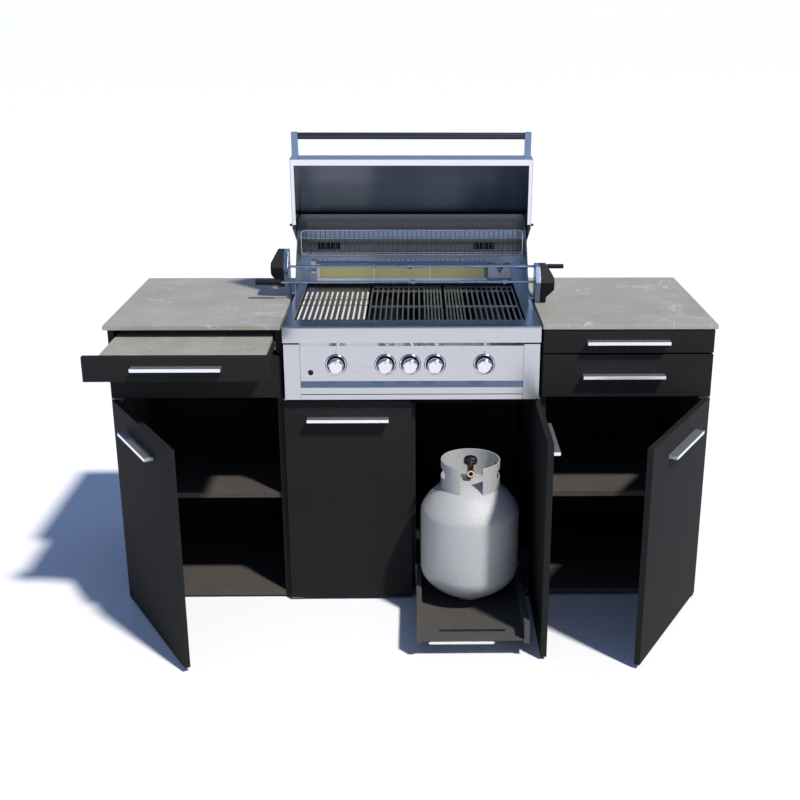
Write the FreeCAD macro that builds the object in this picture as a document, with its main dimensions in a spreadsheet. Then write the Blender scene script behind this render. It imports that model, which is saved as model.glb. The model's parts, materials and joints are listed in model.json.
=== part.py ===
import FreeCAD, Part
import math
import operator
import os
import Sketcher

# An outdoor kitchen island: three cabinets side by side under two stone worktops, with a built-in
# gas barbecue between them. Millimetres; x runs along the island, the doors face -y, z is up, and
# the origin is on the floor, in the middle of the worktop's outline. The doors, the board slide,
# the gas tray and the hood stand as they are usually shown: open.

doc = FreeCAD.newDocument("outdoor_kitchen_island")
sheet = doc.addObject("Spreadsheet::Sheet", "Sizes")
SIGNS = {"+": operator.add, "-": operator.sub, "*": operator.mul, "/": operator.truediv}


# Sizes

class Size:
    """A length, angle or count: its number, and the formula that gives it from the sheet."""

    def __init__(self, number, formula):
        self.number = float(number)
        self.formula = formula

    def __add__(self, other):
        return combine(self, "+", other)

    def __radd__(self, other):
        return combine(other, "+", self)

    def __sub__(self, other):
        return combine(self, "-", other)

    def __rsub__(self, other):
        return combine(other, "-", self)

    def __mul__(self, other):
        return combine(self, "*", other)

    def __rmul__(self, other):
        return combine(other, "*", self)

    def __truediv__(self, other):
        return combine(self, "/", other)

    def __neg__(self):
        return combine(0, "-", self)


def number_of(value):
    return value.number if isinstance(value, Size) else float(value)


def formula_of(value):
    return value.formula if isinstance(value, Size) else "%.9g" % value


def combine(left, sign, right):
    number = SIGNS[sign](number_of(left), number_of(right))
    return Size(number, "(%s %s %s)" % (formula_of(left), sign, formula_of(right)))


def sine(angle):
    return Size(math.sin(math.radians(number_of(angle))), "sin((%s) * 1 deg)" % formula_of(angle))


def cosine(angle):
    return Size(math.cos(math.radians(number_of(angle))), "cos((%s) * 1 deg)" % formula_of(angle))


def root(value):
    return Size(math.sqrt(number_of(value)), "sqrt(%s)" % formula_of(value))


sheet_rows = []


def size(alias, number, meaning):
    """One driving dimension: a row of the sheet, with its alias on the value."""
    sheet_rows.append(alias)
    row = len(sheet_rows)
    sheet.set("A%d" % row, meaning)
    sheet.set("B%d" % row, str(number))
    sheet.setAlias("B%d" % row, alias)
    return Size(number, "Sizes." + alias)


# The island as a whole
island_width = size("island_width", 1850, "length of the worktop, both stones and the gap")
island_depth = size("island_depth", 660, "depth of the worktop")
worktop_height = size("worktop_height", 920, "floor to the top of the stone")
stone_thickness = size("stone_thickness", 14, "thickness of the stone")
stone_edge = size("stone_edge", 1, "chamfer of the stone's upper edges")
cutout_width = size("cutout_width", 790, "gap between the stones, for the barbecue")
side_inset = size("side_inset", 8, "cabinet ends behind the stone's ends")
back_inset = size("back_inset", 8, "cabinet back in front of the stone's back edge")
front_reveal = size("front_reveal", 3, "door faces behind the stone's front edge")
board_thickness = size("board_thickness", 18, "carcass boards, doors and drawer fronts")
centre_width = size("centre_width", 792, "middle cabinet, seam to seam")
front_standoff = size("front_standoff", 2.5, "air between the doors and the carcass")
front_joint = size("front_joint", 3, "joint between neighbouring fronts")
front_rounding = size("front_rounding", 2, "rounded edges of doors and drawer fronts")
foot_height = size("foot_height", 8, "levelling foot")
foot_radius = size("foot_radius", 20, "levelling foot at the floor")
foot_inset = size("foot_inset", 67, "feet in from the ends and the front of a cabinet")
shelf_height = size("shelf_height", 366, "top of the shelves in the side cabinets")
shelf_setback = size("shelf_setback", 11, "shelves behind the carcass front")
rail_depth = size("rail_depth", 80, "support rails under the barbecue")
strip_height = size("strip_height", 3, "steel strips under the stone")
strip_depth = size("strip_depth", 30, "steel strips under the stone")

# Doors and their pivots
side_door_bottom = size("side_door_bottom", 15, "floor to the side doors")
side_door_joint = size("side_door_joint", 6, "side doors to the drawer fronts above them")
centre_door_bottom = size("centre_door_bottom", 10, "floor to the middle doors")
centre_door_joint = size("centre_door_joint", 10, "middle doors to the barbecue's front")
pivot_inset = size("pivot_inset", 5, "pivot axis in from a door's edge and face")
pivot_radius = size("pivot_radius", 2.5, "pivot pin")
pivot_clearance = size("pivot_clearance", 0.06, "running fit of the pivot pins")
pivot_depth = size("pivot_depth", 12, "pin inside the door")
pivot_gap = size("pivot_gap", 2, "air between a door and its bracket")
bracket_thickness = size("bracket_thickness", 2, "pivot bracket plate")
bracket_width = size("bracket_width", 36, "pivot bracket plate")
bracket_depth = size("bracket_depth", 55, "pivot bracket plate, front to back")
side_door_angle = size("side_door_angle", 60, "side doors, degrees open")
gas_door_angle = size("gas_door_angle", 90, "gas bay door, degrees open")

# Drawer fronts
upper_front_drop = size("upper_front_drop", 2, "underside of the stone to the upper fronts")
upper_front_height = size("upper_front_height", 73, "upper drawer front and board slide")
drawer_front_joint = size("drawer_front_joint", 5, "upper fronts to the lower ones")
lower_front_height = size("lower_front_height", 134, "lower drawer fronts")

# Handles
handle_length = size("handle_length", 251, "bar handle")
handle_height = size("handle_height", 10, "bar handle")
handle_reach = size("handle_reach", 28, "bar handle, out from its front")
handle_wall = size("handle_wall", 3, "bar handle's metal")
door_handle_drop = size("door_handle_drop", 57.5, "centre doors' top to the handle's middle line")
side_handle_drop = size("side_handle_drop", 66, "side doors' top to the handle's middle line")
upper_handle_drop = size("upper_handle_drop", 36.5, "front's top to the upper drawer's handle")
slide_handle_drop = size("slide_handle_drop", 32, "front's top to the board slide's handle")
lower_handle_drop = size("lower_handle_drop", 65.5, "front's top to the lower drawers' handles")
lower_handle_shift = size("lower_handle_shift", -12, "lower handles, off the middle of their fronts")
upper_handle_shift = size("upper_handle_shift", -3, "upper handles, off the middle of their fronts")

# Drawers, board slide and their runners
drawer_length = size("drawer_length", 450, "drawer boxes and the board slide, front to back")
drawer_side = size("drawer_side", 12, "boards of the drawer boxes")
drawer_floor = size("drawer_floor", 6, "floor of the drawer boxes")
drawer_side_gap = size("drawer_side_gap", 13, "drawer box to the cabinet wall, for the runner")
lower_box_lift = size("lower_box_lift", 12, "lower boxes above their fronts' lower edge")
lower_box_height = size("lower_box_height", 100, "lower drawer boxes")
upper_box_lift = size("upper_box_lift", 9, "upper box above its front's lower edge")
upper_box_height = size("upper_box_height", 50, "upper drawer box")
slide_frame_drop = size("slide_frame_drop", 36, "frame below the top of its front")
slide_frame_height = size("slide_frame_height", 34, "frame under the sliding board")
chopping_board_thickness = size("chopping_board_thickness", 14, "stone board on the slide")
chopping_board_gap = size("chopping_board_gap", 6, "stone board to the cabinet walls")
board_slide_out = size("board_slide_out", 280, "board slide, pulled out")
runner_height = size("runner_height", 26, "fixed channel of a runner")
runner_depth = size("runner_depth", 11, "fixed channel, out from the cabinet wall")
runner_wall = size("runner_wall", 2.7, "flanges of the fixed channel")
runner_web = size("runner_web", 2, "web of the fixed channel")
runner_gap = size("runner_gap", 0.3, "running gap between channel and bar")
lower_runner_lift = size("lower_runner_lift", 50, "lower runners' middle above the drawer boxes' bottom")
upper_runner_lift = size("upper_runner_lift", 12, "upper runners' middle above the drawer box's bottom")

# Gas tray, bottle and valve
tray_centre_x = size("tray_centre_x", 177.5, "middle line of the gas tray and the bottle")
tray_width = size("tray_width", 301, "tray floor between its rails")
tray_length = size("tray_length", 500, "tray floor and rails")
tray_front = size("tray_front", 312, "front edge of the closed tray, from the origin")
tray_floor_top = size("tray_floor_top", 62, "tray floor above the ground")
tray_floor_thickness = size("tray_floor_thickness", 3, "tray floor plate")
tray_rail_bottom = size("tray_rail_bottom", 50, "tray rails")
tray_rail_height = size("tray_rail_height", 63, "tray rails")
tray_rail_width = size("tray_rail_width", 15.7, "tray rails")
tray_channel_lap = size("tray_channel_lap", 13, "channel flanges over the tray rails")
tray_slot_length = size("tray_slot_length", 200, "finger slot in the tray floor")
tray_slot_width = size("tray_slot_width", 16, "finger slot in the tray floor")
tray_slot_setback = size("tray_slot_setback", 60, "finger slot behind the tray's front edge")
tray_out = size("tray_out", 388, "gas tray, pulled out")
side_block_height = size("side_block_height", 139, "block that carries the right tray channel")
bottle_radius = size("bottle_radius", 152.4, "gas bottle")
bottle_height = size("bottle_height", 456, "gas bottle with its collar")
bottle_setback = size("bottle_setback", 300, "bottle axis behind the tray's front edge")
bottle_wall = size("bottle_wall", 3, "collar and foot ring plate")
foot_ring_radius = size("foot_ring_radius", 50, "foot ring of the bottle")
foot_ring_height = size("foot_ring_height", 12, "foot ring of the bottle")
bottle_lower_dome = size("bottle_lower_dome", 106, "bottle base to where the lower dome ends")
dome_depth = size("dome_depth", 104, "rise of the bottle's lower dome")
lower_knuckle = size("lower_knuckle", 65, "rounding between the wall and the lower dome")
bottle_shoulder = size("bottle_shoulder", 288, "bottle base to where the upper dome starts")
bottle_upper_dome = size("bottle_upper_dome", 108, "height of the upper dome")
upper_knuckle = size("upper_knuckle", 40, "rounding between the wall and the upper dome")
collar_radius = size("collar_radius", 90.5, "guard collar")
collar_bottom = size("collar_bottom", 348, "guard collar above the bottle base")
collar_opening = size("collar_opening", 68, "opening at the front of the collar")
hand_hole_length = size("hand_hole_length", 90, "hand holes in the collar's sides")
hand_hole_height = size("hand_hole_height", 28, "hand holes in the collar's sides")
hand_hole_bottom = size("hand_hole_bottom", 403, "hand holes above the bottle base")
valve_radius = size("valve_radius", 10, "bottle valve body")
valve_top = size("valve_top", 438, "top of the valve body above the bottle base")
outlet_height = size("outlet_height", 419, "valve outlet above the bottle base")
outlet_radius = size("outlet_radius", 11, "valve outlet")
outlet_length = size("outlet_length", 34, "valve outlet, from the valve's axis")
outlet_bore = size("outlet_bore", 6.5, "bore of the valve outlet, radius")
handwheel_radius = size("handwheel_radius", 21, "valve handwheel")
handwheel_rim = size("handwheel_rim", 10, "upright rim of the handwheel")
handwheel_dome = size("handwheel_dome", 14, "domed top of the handwheel")
spindle_radius = size("spindle_radius", 4, "valve spindle")
spindle_depth = size("spindle_depth", 14, "spindle inside the valve body")
running_fit = size("running_fit", 0.06, "radial clearance of the shafts")

# Barbecue: deck, firebox and front
lip_half = size("lip_half", 388, "barbecue's middle plane to the side of its deck")
lip_front = size("lip_front", 350, "front of the deck's lip, from the origin")
lip_height = size("lip_height", 50, "deck's lip and skirts")
lip_rounding = size("lip_rounding", 6, "upper edge of the lip")
deck_rise = size("deck_rise", 1, "deck above the stone")
sheet_metal = size("sheet_metal", 3, "deck plate, lip and skirts")
panel_metal = size("panel_metal", 2, "thin steel of the firebox, hood and panels")
grill_left = size("grill_left", 360, "left end of the grill opening")
grill_right = size("grill_right", 348, "right end of the grill opening")
grill_front = size("grill_front", 267, "front edge of the grill opening")
rear_wall_y = size("rear_wall_y", 248, "front face of the rear wall")
rear_skirt_y = size("rear_skirt_y", 320, "inside face of the rear shell")
rear_shell_rise = size("rear_shell_rise", 139, "top of the rear shell above the deck")
firebox_depth = size("firebox_depth", 213, "deck to the underside of the firebox floor")
firebox_foot_width = size("firebox_foot_width", 16, "feet under the firebox")
front_foot_depth = size("front_foot_depth", 32, "front feet under the firebox")
rear_foot_depth = size("rear_foot_depth", 20, "rear feet under the firebox")
drip_slot_width = size("drip_slot_width", 60, "drain slot along the firebox floor")
pillar_face = size("pillar_face", 345, "front of the fascia pillars, from the origin")
pillar_inner = size("pillar_inner", 338, "inner side of the fascia pillars")
pillar_outer = size("pillar_outer", 386, "outer side of the fascia pillars")
pillar_depth = size("pillar_depth", 30, "fascia pillars, front to back")
fascia_drop = size("fascia_drop", 230, "deck to the lower edge of the barbecue's front")
fascia_height = size("fascia_height", 174.5, "fascia pillars")
panel_face = size("panel_face", 337, "front of the control panel, from the origin")
panel_lift = size("panel_lift", 18, "control panel above the barbecue's lower edge")
panel_height = size("panel_height", 176, "control panel, up to behind the lip")
panel_sill_height = size("panel_sill_height", 20, "upright foot of the control panel")
bevel_height = size("bevel_height", 19, "control panel's lower bevel")
upper_bevel_height = size("upper_bevel_height", 13, "control panel's bevel under the lip")
panel_recess = size("panel_recess", 8, "face of the control panel behind its foot")

# Knobs, igniter and gas train
knob_drop = size("knob_drop", 121, "knob axes below the deck")
knob_radius = size("knob_radius", 24, "burner knob")
knob_depth = size("knob_depth", 25, "burner knob, front to back")
pointer_width = size("pointer_width", 3, "pointer groove in a knob's face")
pointer_length = size("pointer_length", 9, "pointer groove, in from the knob's rim")
pointer_depth = size("pointer_depth", 1.2, "pointer groove")
bezel_radius = size("bezel_radius", 33, "ring behind a knob")
bezel_depth = size("bezel_depth", 4, "ring behind a knob")
knob_gap = size("knob_gap", 0.5, "knob in front of its ring")
knob_shift = size("knob_shift", 5.5, "row of knobs to the left of the middle")
outer_knob_offset = size("outer_knob_offset", 224, "outer knobs from the middle one")
inner_knob_offset = size("inner_knob_offset", 75, "inner knobs from the middle one")
knob_shaft_radius = size("knob_shaft_radius", 4, "knob shaft")
knob_hole_radius = size("knob_hole_radius", 6, "holes for the knob shafts")
knob_shaft_depth = size("knob_shaft_depth", 15, "shaft inside the gas valve")
valve_body_radius = size("valve_body_radius", 11, "gas valve")
manifold_radius = size("manifold_radius", 8, "gas manifold")
manifold_y = size("manifold_y", 308, "manifold axis, from the origin")
manifold_half = size("manifold_half", 300, "half length of the manifold")
igniter_x = size("igniter_x", 307, "igniter to the left of the middle")
igniter_drop = size("igniter_drop", 25, "igniter axis below the knob axes")
igniter_radius = size("igniter_radius", 8, "igniter button")
igniter_reach = size("igniter_reach", 6, "igniter button in front of the panel")
igniter_length = size("igniter_length", 20, "igniter button")
igniter_sleeve = size("igniter_sleeve", 4, "wall of the igniter's sleeve")
igniter_sleeve_length = size("igniter_sleeve_length", 24, "igniter's sleeve behind the panel")

# Burners, flame tamers and grills
burner_count = size("burner_count", 4, "main burners")
burner_radius = size("burner_radius", 20, "main burner tube")
burner_wall = size("burner_wall", 1.5, "main burner tube's metal")
burner_drop = size("burner_drop", 121, "main burner axes below the deck")
tamer_width = size("tamer_width", 110, "flame tamer")
tamer_rise = size("tamer_rise", 26, "ridge of a flame tamer above its edges")
tamer_drop = size("tamer_drop", 73, "ledge under the flame tamers, below the deck")
ledge_height = size("ledge_height", 6, "ledges inside the firebox")
ledge_depth = size("ledge_depth", 8, "ledges inside the firebox")
grill_drop = size("grill_drop", 11, "top of the grills below the deck")
grill_thickness = size("grill_thickness", 8, "cooking grills")
grill_gap = size("grill_gap", 1.5, "air round a grill")
slotted_right = size("slotted_right", 144.5, "right edge of the slotted plate")
slot_count = size("slot_count", 13, "slots in the slotted plate")
slot_pitch = size("slot_pitch", 17, "slots in the slotted plate")
slot_width = size("slot_width", 6.5, "slots in the slotted plate")
slot_front = size("slot_front", 217, "front end of the slots, from the origin")
slot_back = size("slot_back", 158, "back end of the slots")
slot_inset = size("slot_inset", 5.5, "middle of the first slot from the plate's edge")
front_rib_y = size("front_rib_y", 31, "front rib across the slots, from the origin")
back_rib_y = size("back_rib_y", 50, "back rib across the slots")
slot_rib = size("slot_rib", 9, "ribs across the slots")
bar_width = size("bar_width", 5, "bars of the cooking grills")
cross_bar_y = size("cross_bar_y", 41, "cross bar in front of the middle of the grills")
bar_start = size("bar_start", 7.75, "joint of the grills to the middle of their first bars")
fine_pitch = size("fine_pitch", 11, "bars near the joint of the grills")
fine_count = size("fine_count", 6, "close bars of each grill")
wide_pitch = size("wide_pitch", 17.5, "outer bars of the grills")
wide_count = size("wide_count", 10, "wide-set bars of each grill")
grill_joint_x = size("grill_joint_x", 103.25, "joint between the two grills, from the middle")

# Rear housing, rear burner and warming rack
rear_wall_rise = size("rear_wall_rise", 236, "top of the rear wall above the deck")
cheek_face = size("cheek_face", 378, "outside of the fixed cheeks")
cheek_foot_y = size("cheek_foot_y", 54, "foot of the cheeks' sloping edge, from the origin")
cheek_slope = size("cheek_slope", 49.5, "slope of the cheeks' front edge, degrees")
vent_length = size("vent_length", 75, "louvred vent")
vent_height = size("vent_height", 25, "louvred vent")
vent_rise = size("vent_rise", 116, "louvred vents above the deck")
left_vent_x = size("left_vent_x", 284, "middle of the left vent")
right_vent_x = size("right_vent_x", 246, "middle of the right vent")
vent_slots = size("vent_slots", 5, "slots of a vent")
rear_burner_left = size("rear_burner_left", 328, "left end of the rear burner")
rear_burner_right = size("rear_burner_right", 257, "right end of the rear burner")
rear_burner_lift = size("rear_burner_lift", 3, "rear burner frame above the deck")
rear_burner_height = size("rear_burner_height", 70, "rear burner frame")
rear_burner_depth = size("rear_burner_depth", 20, "rear burner frame")
tile_border = size("tile_border", 9, "frame round the burner tiles")
tile_recess = size("tile_recess", 3, "tiles behind the frame's face")
flame_guard_width = size("flame_guard_width", 78, "notched guard beside the rear burner")
flame_guard_notch = size("flame_guard_notch", 34, "notch of that guard")
rack_y = size("rack_y", 150, "plane of the warming rack")
rack_half = size("rack_half", 372, "half length of the warming rack")
rack_lift = size("rack_lift", 117, "lower wire of the rack above the deck")
rack_comb_height = size("rack_comb_height", 56, "lower wire of the rack to the middle one")
rack_rail_gap = size("rack_rail_gap", 26, "middle wire of the rack to the upper one")
rack_wire = size("rack_wire", 2.5, "frame wires of the rack, radius")
rack_thin_wire = size("rack_thin_wire", 1.5, "upright wires of the rack, radius")
rack_pitch = size("rack_pitch", 16, "upright wires of the rack")

# Hood
pivot_y = size("pivot_y", 98, "hood pivot")
pivot_rise = size("pivot_rise", 89, "hood pivot above the deck")
hood_half = size("hood_half", 382, "half width of the hood")
hood_radius = size("hood_radius", 217, "outside of the hood's round back")
hood_front = size("hood_front", 268, "front of the closed hood, from the origin")
hood_lift = size("hood_lift", 4, "rim of the closed hood above the deck")
hood_arc_start = size("hood_arc_start", 128.35, "where the round back starts, degrees above level")
hood_heel_y = size("hood_heel_y", 50, "rear end of the closed hood's rim, from the origin")
hood_rim_front = size("hood_rim_front", 18, "rim flange at the front")
hood_rim_side = size("hood_rim_side", 10, "rim flange at the sides")
hood_angle = size("hood_angle", 87, "hood, degrees open")
hood_tail = size("hood_tail", 44, "where the round back ends, degrees above level")
lug_radius = size("lug_radius", 15, "hinge lug of the hood")
hinge_pin_radius = size("hinge_pin_radius", 6, "hood hinge pin")
hood_edge_slope = size("hood_edge_slope", 59, "rear edge of the closed hood's sides, degrees")
hood_arm_width = size("hood_arm_width", 60, "arms from the hood's sides to the pivot, where they start")
stop_pin_radius = size("stop_pin_radius", 4, "small pins at the hood's lower corners")
stop_pin_length = size("stop_pin_length", 8, "small pins at the hood's lower corners")
hood_handle_radius = size("hood_handle_radius", 10.5, "hood handle tube")
hood_handle_reach = size("hood_handle_reach", 70, "handle brackets in front of the hood")
hood_handle_height = size("hood_handle_height", 12, "handle axis above the hood's rim")
hood_bracket_inner = size("hood_bracket_inner", 354, "inner side of the handle brackets")
hood_bracket_width = size("hood_bracket_width", 20, "handle brackets")
hood_bracket_height = size("hood_bracket_height", 22, "handle brackets")

# Grease tray
grease_half = size("grease_half", 300, "half width of the grease tray")
grease_back = size("grease_back", 200, "back of the grease tray")
grease_depth = size("grease_depth", 12, "height of the grease tray's walls")
grease_guide = size("grease_guide", 6, "height of the guides under the tray")

# Spits and motors
spit_radius = size("spit_radius", 4, "spit rod")
upper_spit_y = size("upper_spit_y", 33, "upper spit axis")
lower_spit_y = size("lower_spit_y", -4, "lower spit axis")
spit_socket = size("spit_socket", 438, "end of a spit in its motor, from the middle")
upper_grip_start = size("upper_grip_start", 441, "inner end of the upper spit's grip")
upper_grip_end = size("upper_grip_end", 494, "outer end of the upper spit's grip")
lower_grip_start = size("lower_grip_start", 424, "inner end of the lower spit's grip")
lower_grip_end = size("lower_grip_end", 506, "outer end of the lower spit's grip")
upper_grip_radius = size("upper_grip_radius", 7.5, "grip of the upper spit")
lower_grip_radius = size("lower_grip_radius", 9.5, "grip of the lower spit")
collar_ring_radius = size("collar_ring_radius", 8, "clamping collars on the spits")
collar_ring_length = size("collar_ring_length", 14, "clamping collars on the spits")
upper_collar_x = size("upper_collar_x", 7, "collar of the upper spit, left of the middle")
counterweight_x = size("counterweight_x", 345, "left end of the upper spit's counterweight")
lower_collar_x = size("lower_collar_x", 2, "inner collar of the lower spit")
lower_collar_gap = size("lower_collar_gap", 300, "inner to outer collar of the lower spit")
left_bracket_x = size("left_bracket_x", 402, "inner face of the left motor's bracket")
right_bracket_x = size("right_bracket_x", 396, "inner face of the right motor's bracket")
motor_bracket_width = size("motor_bracket_width", 15, "steel bracket beside a motor")
left_motor_width = size("left_motor_width", 41, "left motor box")
right_motor_width = size("right_motor_width", 44, "right motor box")
left_ridge_rise = size("left_ridge_rise", 102, "left motor's front ridge above the deck")
right_ridge_rise = size("right_ridge_rise", 70, "right motor's front ridge above the deck")
motor_above = size("motor_above", 46, "top of a motor above its ridge")
motor_below = size("motor_below", 68, "foot of a motor below its ridge")
motor_top_width = size("motor_top_width", 23, "flat top of a motor box")
motor_top_cut = size("motor_top_cut", 33, "sloping upper corner of a motor box")
motor_neck_width = size("motor_neck_width", 20, "neck under a motor box")
motor_neck_height = size("motor_neck_height", 17, "neck under a motor box")
motor_low_cut = size("motor_low_cut", 26, "sloping lower corner of a motor box")
motor_top_setback = size("motor_top_setback", 35, "top of a motor behind its ridge")
motor_foot_setback = size("motor_foot_setback", 25, "foot of a motor behind its ridge")
left_motor_depth = size("left_motor_depth", 90, "left motor, front to back")
right_motor_depth = size("right_motor_depth", 96.5, "right motor, front to back")
motor_air = size("motor_air", 4, "a motor to the grip of the other spit")
motor_leg_depth = size("motor_leg_depth", 30, "leg of a motor bracket, front to back")

# Places that follow from the sizes
board = board_thickness
side_x = island_width / 2 - side_inset
side_inner = side_x - board
seam = centre_width / 2
bay_wall = seam + board
centre_wall = seam - board
front_y = front_reveal - island_depth / 2
front_back = front_y + board
carcass_front = front_back + front_standoff
back_y = island_depth / 2 - back_inset
carcass_back = back_y - board
stone_under = worktop_height - stone_thickness
floor_top = foot_height + board
deck_top = worktop_height + deck_rise
upper_front_top = stone_under - upper_front_drop
upper_front_bottom = upper_front_top - upper_front_height
lower_front_top = upper_front_bottom - drawer_front_joint
lower_front_bottom = lower_front_top - lower_front_height
side_door_top = lower_front_bottom - side_door_joint
fascia_bottom = deck_top - fascia_drop
centre_door_top = fascia_bottom - centre_door_joint
support_top = centre_door_top + centre_door_joint / 2
lower_box_bottom = lower_front_bottom + lower_box_lift
upper_box_bottom = upper_front_bottom + upper_box_lift
slide_frame_top = upper_front_top - slide_frame_drop
lower_runner_height = lower_box_bottom + lower_runner_lift
upper_runner_height = upper_box_bottom + upper_runner_lift
rear_shell_top = deck_top + rear_shell_rise
firebox_floor = deck_top - firebox_depth
panel_bottom = fascia_bottom + panel_lift
bevel_bottom = panel_bottom + panel_sill_height
bevel_top = bevel_bottom + bevel_height
knob_height = deck_top - knob_drop
igniter_height = knob_height - igniter_drop
burner_height = deck_top - burner_drop
tamer_height = deck_top - tamer_drop
grill_top = deck_top - grill_drop
rear_wall_top = deck_top + rear_wall_rise
vent_bottom = deck_top + vent_rise
rear_burner_bottom = deck_top + rear_burner_lift
rear_burner_top = rear_burner_bottom + rear_burner_height
rack_bottom = deck_top + rack_lift
rack_comb = rack_bottom + rack_comb_height
rack_top = rack_comb + rack_rail_gap
pivot_z = deck_top + pivot_rise
side_front_inner = seam + front_joint / 2
centre_door_outer = seam - front_joint / 2
side_hinge_x = side_x - pivot_inset
centre_hinge_x = centre_door_outer - pivot_inset
hinge_y = front_y + pivot_inset
tray_block_face = tray_centre_x + tray_width / 2 + tray_rail_width + runner_gap + runner_web
rack_wall = cheek_face - panel_metal
cheek_climb = sine(cheek_slope) / cosine(cheek_slope)
spit_places = [(spit_y, deck_top + (spit_y + cheek_foot_y) * cheek_climb)
               for spit_y in (upper_spit_y, lower_spit_y)]
knob_centres = [offset - knob_shift for offset in
                (-outer_knob_offset, -inner_knob_offset, Size(0, "0"), inner_knob_offset, outer_knob_offset)]
burner_pitch = (grill_left + grill_right) / burner_count
burner_centres = [(index + 0.5) * burner_pitch - grill_left for index in range(int(burner_count.number))]


# Building blocks

def bind(thing, path, value):
    thing.setExpression(path, formula_of(value))


def mirror(side, low, high):
    """The span low to high, on the right for side 1 and mirrored to the left for side -1."""
    return (low, high) if side > 0 else (-high, -low)


def block(name, x, y, z):
    """A box between the low and high value on each axis."""
    solid = doc.addObject("Part::Box", name)
    for length, axis, span in (("Length", "x", x), ("Width", "y", y), ("Height", "z", z)):
        bind(solid, length, span[1] - span[0])
        bind(solid, "Placement.Base." + axis, span[0])
    return solid


TURNS = {"x": FreeCAD.Rotation(FreeCAD.Vector(0, 1, 0), 90),
         "y": FreeCAD.Rotation(FreeCAD.Vector(1, 0, 0), -90),
         "z": FreeCAD.Rotation()}


def rod(name, axis, centre, radius, low, high):
    """A cylinder along one axis, its centre given by the other two coordinates in their order."""
    solid = doc.addObject("Part::Cylinder", name)
    bind(solid, "Radius", radius)
    bind(solid, "Height", high - low)
    solid.Placement.Rotation = TURNS[axis]
    places = dict(zip([letter for letter in "xyz" if letter != axis], centre))
    places[axis] = low
    for letter, place in places.items():
        bind(solid, "Placement.Base." + letter, place)
    return solid


def fuse(name, solids):
    union = doc.addObject("Part::MultiFuse", name)
    union.Shapes = solids
    union.Refine = True
    return union


def common(name, solids):
    """The room that the solids share."""
    shared = doc.addObject("Part::MultiCommon", name)
    shared.Shapes = solids
    shared.Refine = True
    return shared


def cut(name, base, tools):
    """The base without the tools."""
    difference = doc.addObject("Part::Cut", name)
    difference.Base = base
    difference.Tool = tools[0] if len(tools) == 1 else fuse(name + "_tools", tools)
    return difference


def tube(name, axis, centre, radius, bore, low, high):
    outer = rod(name + "_outer", axis, centre, radius, low, high)
    inner = rod(name + "_bore", axis, centre, bore, low, high)
    return cut(name, outer, [inner])


def arc_middle(start, end, radius, turn):
    """A point on the arc between two points, bulging to the right of start to end when turn is 1."""
    chord = (end[0] - start[0], end[1] - start[1])
    half = math.hypot(*chord) / 2
    rise = radius - math.sqrt(max(radius * radius - half * half, 0))
    normal = (chord[1] / (2 * half), -chord[0] / (2 * half))
    return ((start[0] + end[0]) / 2 + turn * rise * normal[0],
            (start[1] + end[1]) / 2 + turn * rise * normal[1])


def draw_outline(drawing, outline):
    """Close the corners (a, b) with lines, or with an arc where a corner also has (radius, turn)."""
    corners = [(number_of(corner[0]), number_of(corner[1])) for corner in outline]
    starts = []
    for index, corner in enumerate(outline):
        start = FreeCAD.Vector(*corners[index], 0)
        end = FreeCAD.Vector(*corners[(index + 1) % len(outline)], 0)
        if len(corner) > 2:
            middle = arc_middle((start.x, start.y), (end.x, end.y), number_of(corner[2]), corner[3])
            drawing.addGeometry(Part.Arc(start, FreeCAD.Vector(*middle, 0), end))
        else:
            drawing.addGeometry(Part.LineSegment(start, end))
        begins = (drawing.getPoint(index, 1) - start).Length < (drawing.getPoint(index, 2) - start).Length
        starts.append(1 if begins else 2)
    for index, corner in enumerate(outline):
        after = (index + 1) % len(outline)
        drawing.addConstraint(
            Sketcher.Constraint("Coincident", index, 3 - starts[index], after, starts[after]))
    for index, corner in enumerate(outline):
        for kind, letter, place in (("DistanceX", "a", 0), ("DistanceY", "b", 1)):
            held = drawing.addConstraint(
                Sketcher.Constraint(kind, -1, 1, index, starts[index], corners[index][place]))
            drawing.renameConstraint(held, "%s%d" % (letter, index))
            drawing.setExpression("Constraints.%s%d" % (letter, index), formula_of(corner[place]))
        if len(corner) > 2:
            held = drawing.addConstraint(Sketcher.Constraint("Radius", index, number_of(corner[2])))
            drawing.renameConstraint(held, "r%d" % index)
            drawing.setExpression("Constraints.r%d" % index, formula_of(corner[2]))


def new_sketch(body, name, role, lift):
    drawing = body.newObject("Sketcher::SketchObject", name)
    plane = [feature for feature in body.Origin.OriginFeatures if feature.Role == role][0]
    drawing.AttachmentSupport = [(plane, "")]
    drawing.MapMode = "FlatFace"
    bind(drawing, "AttachmentOffset.Base.z", lift)
    return drawing


def extrusion(name, role, outline, low, high):
    """A body padded from an outline, low to high along x (YZ_Plane), y (XZ_Plane) or z (XY_Plane)."""
    body = doc.addObject("PartDesign::Body", name)
    add_pad(body, name, role, outline, low, high)
    return body


def add_pad(body, name, role, outline, low, high):
    drawing = new_sketch(body, name + "_outline", role, -high if role == "XZ_Plane" else low)
    draw_outline(drawing, outline)
    feature = body.newObject("PartDesign::Pad", name + "_pad")
    feature.Profile = drawing
    bind(feature, "Length", high - low)
    return feature


def add_pocket(body, name, role, outline, low, high):
    """A pocket through the same kind of span; its cut runs along the plane's normal."""
    drawing = new_sketch(body, name + "_outline", role, -high if role == "XZ_Plane" else low)
    draw_outline(drawing, outline)
    feature = body.newObject("PartDesign::Pocket", name + "_pocket")
    feature.Profile = drawing
    feature.Reversed = True
    bind(feature, "Length", high - low)
    return feature


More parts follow.
